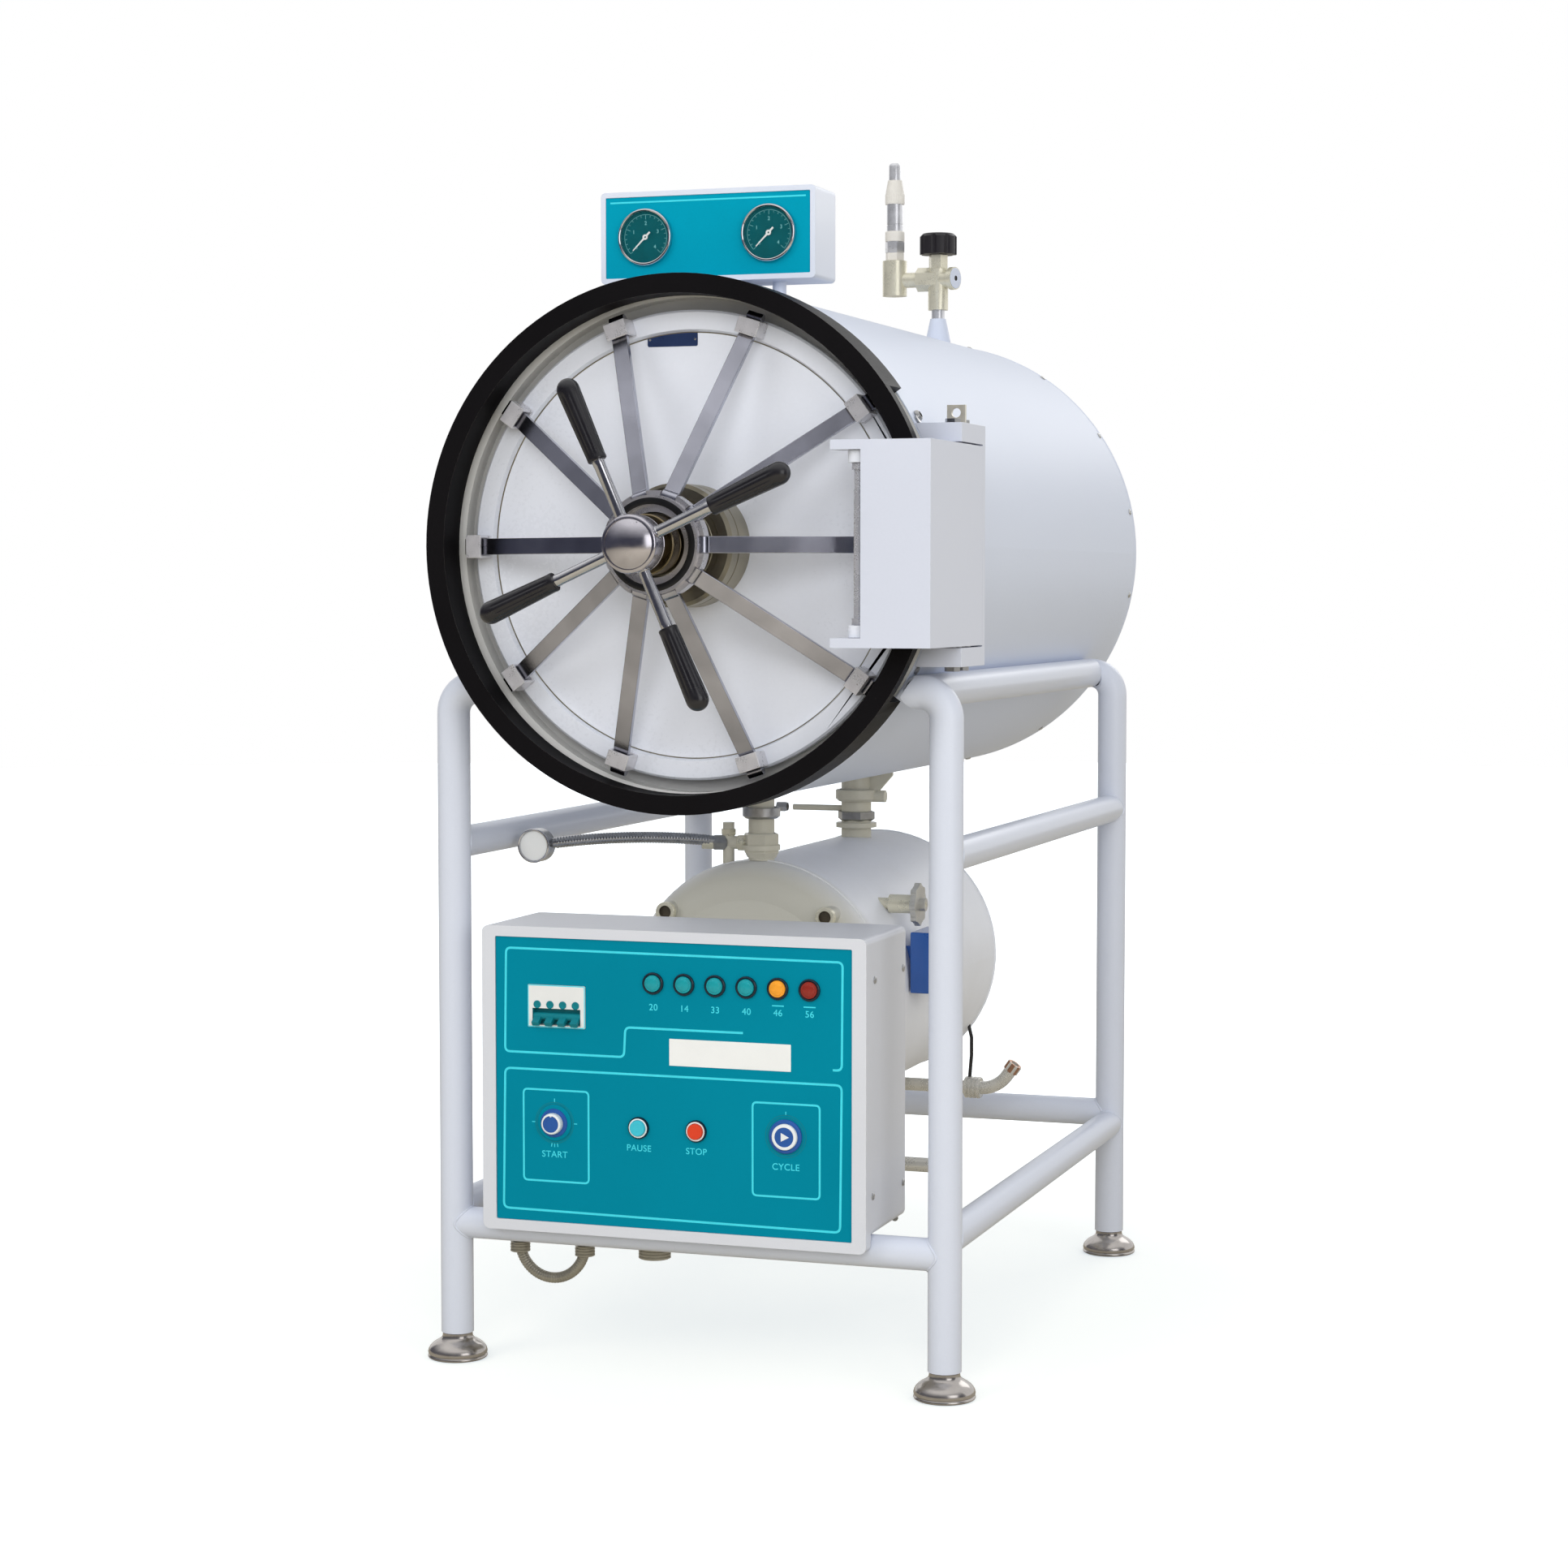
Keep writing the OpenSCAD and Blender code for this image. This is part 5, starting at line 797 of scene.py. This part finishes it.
# Pressure controller, level valve and boiler gauge
# A blue enamelled switch box beside the tank, a brass valve with a wavy iron wheel, and a small white-faced
# gauge at the end of a corrugated metal hose.
def corrugated(name, points, outer, inner, pitch, material, slot, around=24):
    """A corrugated metal hose along points in mm; its radius swings between outer and inner."""
    run = [Vector(p) for p in points]
    length = sum((b - a).length for a, b in zip(run, run[1:]))
    steps = int(length / pitch * 6)
    line, walked, k = [], 0.0, 0
    for s in range(steps + 1):
        want = length * s / steps
        while k < len(run) - 2 and walked + (run[k + 1] - run[k]).length < want:
            walked += (run[k + 1] - run[k]).length
            k += 1
        leg = run[k + 1] - run[k]
        line.append((run[k] + leg.normalized() * (want - walked), leg.normalized(), want))
    shape = bmesh.new()
    rows = []
    side = line[0][1].cross(Vector((0, 0.3, 1))).normalized()
    for spot, heading, gone in line:
        side = (side - heading * side.dot(heading)).normalized()
        up = heading.cross(side)
        r = inner + (outer - inner) * sqrt(abs(sin(pi * gone / pitch)))
        turns = [2 * pi * j / around for j in range(around)]
        rows.append([shape.verts.new((spot + (side * cos(t) + up * sin(t)) * r) / 1000) for t in turns])
    for a, b in zip(rows, rows[1:]):
        for j in range(around):
            shape.faces.new((a[j - 1], a[j], b[j], b[j - 1]))
    bmesh.ops.recalc_face_normals(shape, faces=shape.faces)
    return fitted(formed(name, shape, material, 180), "autoclave", slot)


controller_blue = surface("controller_blue_enamel", (34, 84, 160), 0.3, drift=0.08, patch=0.04, grain=0.002,
    relief=0.08, coat=0.4, worn=(110, 118, 132), worn_share=0.1)
rightwards, controller_face_x = (1, 0, 0), 230
eased("pressure_controller", 1.5, controller_blue, "blue_enamel")
for k, (y, z) in enumerate([(y, z) for z in (478, 547) for y in (-104, -38)]):
    turned_piece(f"controller_screw_{k + 1}", [(-0.3, 3.4), (0.6, 3.4), (1.4, 2.6), (1.6, 1), (1.1, 0.8),
        (1.1, 0)], (controller_face_x, y, z), rightwards, bolt_zinc, "polished_steel", sides=24)
dress(plated_brass, "level_valve")
wheel_iron = surface("wheel_iron", (198, 197, 192), 0.34, metallic=0.55, drift=0.14, relief=0.14,
    worn=(92, 90, 84))
eased("level_wheel", 0.6, wheel_iron, "foot_steel")
hose_steel = surface("hose_corrugated_steel", (170, 172, 176), 0.28, metallic=1, drift=0.16,
    worn=(110, 108, 104), worn_share=0.25)
dress(hose_steel, "boiler_gauge")
hose_start, hose_across, hose_forward, hose_drop, hose_bend = (-48, front_column_y, 681), 241, 110, 2, 1000
chord = hypot(hose_across, hose_forward)
bow = sqrt(hose_bend ** 2 - (chord / 2) ** 2)
hose = []
for k in range(4, 37):
    t = k / 40
    lift = sqrt(hose_bend ** 2 - (chord * (t - 0.5)) ** 2) - bow
    x, y, z = hose_start
    hose.append((x - hose_across * t, y - hose_forward * t, z - hose_drop * t + lift))
corrugated("boiler_gauge_hose", hose, 7.9, 7.1, 4, hose_steel, "polished_steel")
boiler_gauge_face = (-289, -322, 679)
turned_piece("boiler_gauge_rim", [(-3, 20.4), (-0.2, 20.5), (0.6, 21), (0.9, 22), (0.6, 23), (-0.5, 23.5),
    (-3, 23.4)], boiler_gauge_face, forwards, bezel_chrome, "polished_steel", sides=64)
turned_piece("boiler_gauge_dial", [(-2.8, 20.4), (-2.5, 20.2), (-2.5, 0)], boiler_gauge_face, forwards,
    plate_white, "gauge_white", sides=64)


# Water pipes and conduit
# Drawn steel pipe runs to the tank at the back and the front, with a ribbed collar, a copper end nut and a
# thin probe cable. Under the control box a corrugated conduit loops between two ribbed nuts, and a larger
# ribbed gland is the cable entry.
def ribbed(count, pitch, root, crest, slope):
    """The outline of so many ribs round a nut: crest and root are radii, slope the places in one rib."""
    return [(place + pitch * k, r) for k in range(count)
        for place, r in zip(slope, (root, crest, crest, root))]


pipe_steel = surface("pipe_drawn_steel", (216, 215, 210), 0.28, metallic=0.5, patch=0.03, grain=0.0015,
    worn=(130, 122, 106), worn_share=0.25)
dress(pipe_steel, "water_pipes")
collar_end, end_nut, end_nut_axis = (143, 340, 268), (213.6, 340, 295.9), (0.574, 0, 0.819)
turned_piece("feed_collar_ribs", [(0, 14), (0, 15.1), *ribbed(4, 6.2, 15.1, 16.6, (0.8, 1.3, 4.3, 4.8)),
    (25.2, 15.1), (25.2, 14)], collar_end, rightwards, pipe_steel, "pipe_steel", sides=48)
turned_piece("feed_end_nut", [(0, 7.2), (0, 11.4), (0.8, 12.3), (13.2, 12.3), (14, 11.4), (14, 7.2)],
    end_nut, end_nut_axis, heater_copper, "heater_copper", sides=6)
wire("feed_probe_cable", [[(148, 338, 366), (153, 338, 345), (153, 338, 318), (150, 339, 284)]], 2.8,
    grip_black, "black_plastic", closed=False)
gland_grey = surface("gland_nickel", (164, 160, 148), 0.34, metallic=0.7, drift=0.14, relief=0.12,
    worn=(112, 106, 92), worn_share=0.25)
dress(gland_grey, "conduit")
conduit_y, nut_ribs = -425, (0.8, 3, 3.4, 4.2)
for name, x, r, bore, low in (
        ("conduit_nut_left", -266, 13.4, 6.4, 140),
        ("conduit_nut_right", -172, 13.4, 6.4, 140),
        ("mains_gland_nut", -72, 21.5, 8.2, 144)):
    rings = [(place + 4 * k, r - step) for k in range(3) for place, step in zip(nut_ribs, (0, 0, 1, 1))]
    turned_piece(name, [(0, bore), (0, r - 1.6), *rings, (14, r), (14, bore)], (x, conduit_y, low), upwards,
        gland_grey, "pipe_steel", sides=48)
loop_r, loop_x, loop_z = 47, -219, 154
loop = [(loop_x - loop_r * cos(radians(a)), conduit_y, loop_z - loop_r * sin(radians(a)))
    for a in range(0, 181, 4)]
corrugated("conduit_loop", loop, 7.3, 6.55, 3.6, gland_grey, "pipe_steel")


# Studio: floor, screen, background and lamps
# A plain pale floor and a white background. A soft key lamp hangs at the upper left, one stands in front
# beside the camera, a weaker one at the right and one behind. The first two don't show in reflections.
ground = bmesh.new()
bmesh.ops.create_circle(ground, cap_ends=True, segments=96, radius=14)
floor_paint = surface("studio_floor_paint", (208, 200, 182), 0.9, drift=0.01, patch=2.0, grain=0.02,
    relief=0.0, shine=0.1)
floor = formed("studio_floor", ground, floor_paint)
floor.location = (0, 0, -0.0005)
tree = floor_paint.node_tree
shader = tree.nodes["Principled BSDF"]
shader.inputs["Emission Color"].default_value = (0.8, 0.9, 1, 1)
away = wired(tree, "VectorMath", {0: wired(tree, "TexCoord")["Object"]}, operation="LENGTH")["Value"]
level = wired(tree, "MapRange", {"Value": away, "From Min": 0.6, "From Max": 1.7, "To Min": 0.64,
    "To Max": 1.3}, interpolation_type="SMOOTHSTEP")["Result"]
glow = wired(tree, "Math", {0: wired(tree, "LightPath")["Is Camera Ray"], 1: level},
    operation="MULTIPLY")[0]
tree.links.new(glow, shader.inputs["Emission Strength"])

# A dark curved screen round the front, which only reflections see, gives the chrome its dark band.
screen_shape = bmesh.new()
screen_r, screen_foot, screen_top = 7, 0.02, 9.5
foot_row, top_row = [[screen_shape.verts.new((screen_r * sin(radians(a)), -screen_r * cos(radians(a)), z))
    for a in range(-115, 96, 5)] for z in (screen_foot, screen_top)]
for k in range(len(foot_row) - 1):
    screen_shape.faces.new((foot_row[k], foot_row[k + 1], top_row[k + 1], top_row[k]))
screen_cloth = surface("studio_screen_cloth", (92, 95, 114), 0.9, drift=0.05, patch=0.5, grain=0.01,
    shine=0.1)
screen = formed("studio_screen", screen_shape, screen_cloth)
screen.visible_camera = screen.visible_diffuse = screen.visible_shadow = screen.visible_transmission = False
tree = screen_cloth.node_tree
height = wired(tree, "SeparateXYZ", {0: wired(tree, "TexCoord")["Object"]})["Z"]
fade = wired(tree, "MapRange", {"Value": height, "From Min": 2.6, "From Max": screen_top})["Result"]
blend = wired(tree, "MixShader", {0: fade, 1: tree.nodes["Principled BSDF"].outputs[0],
    2: wired(tree, "BsdfTransparent")[0]})[0]
tree.links.new(blend, tree.nodes["Material Output"].inputs["Surface"])

sky = bpy.data.worlds.new("studio_background")
bpy.context.scene.world = sky
sky.use_nodes = True
tree = sky.node_tree
ray = wired(tree, "LightPath")
seen = wired(tree, "Math", {0: ray["Is Camera Ray"], 1: ray["Is Glossy Ray"]}, operation="MAXIMUM")[0]
also = wired(tree, "Math", {0: seen, 1: ray["Is Transmission Ray"]}, operation="MAXIMUM")[0]
level = wired(tree, "MapRange", {"Value": also, "To Min": 0.62, "To Max": 1.0})["Result"]
backdrop = tree.nodes["Background"]
backdrop.inputs["Color"].default_value = (1, 1, 1, 1)
tree.links.new(level, backdrop.inputs["Strength"])

aim = Vector((0, 0, 0.9))
for name, place, size, power in (
        ("key_lamp", (-2.6, -4.2, 3.6), 2.6, 54),
        ("front_lamp", (1.2, -4.9, 2.3), 2.2, 74),
        ("fill_lamp", (3.6, -3.2, 1.8), 2.6, 38),
        ("back_lamp", (1.2, 4.2, 3.2), 2.4, 27)):
    lamp = bpy.data.lights.new(name, "AREA")
    lamp.size, lamp.energy = size, power
    hung = bpy.data.objects.new(name, lamp)
    hung.visible_glossy = name not in ("key_lamp", "front_lamp")
    hung.location = place
    hung.rotation_euler = (aim - Vector(place)).to_track_quat("-Z", "Y").to_euler()
    bpy.context.collection.objects.link(hung)
bpy.context.scene.view_settings.view_transform = "Standard"
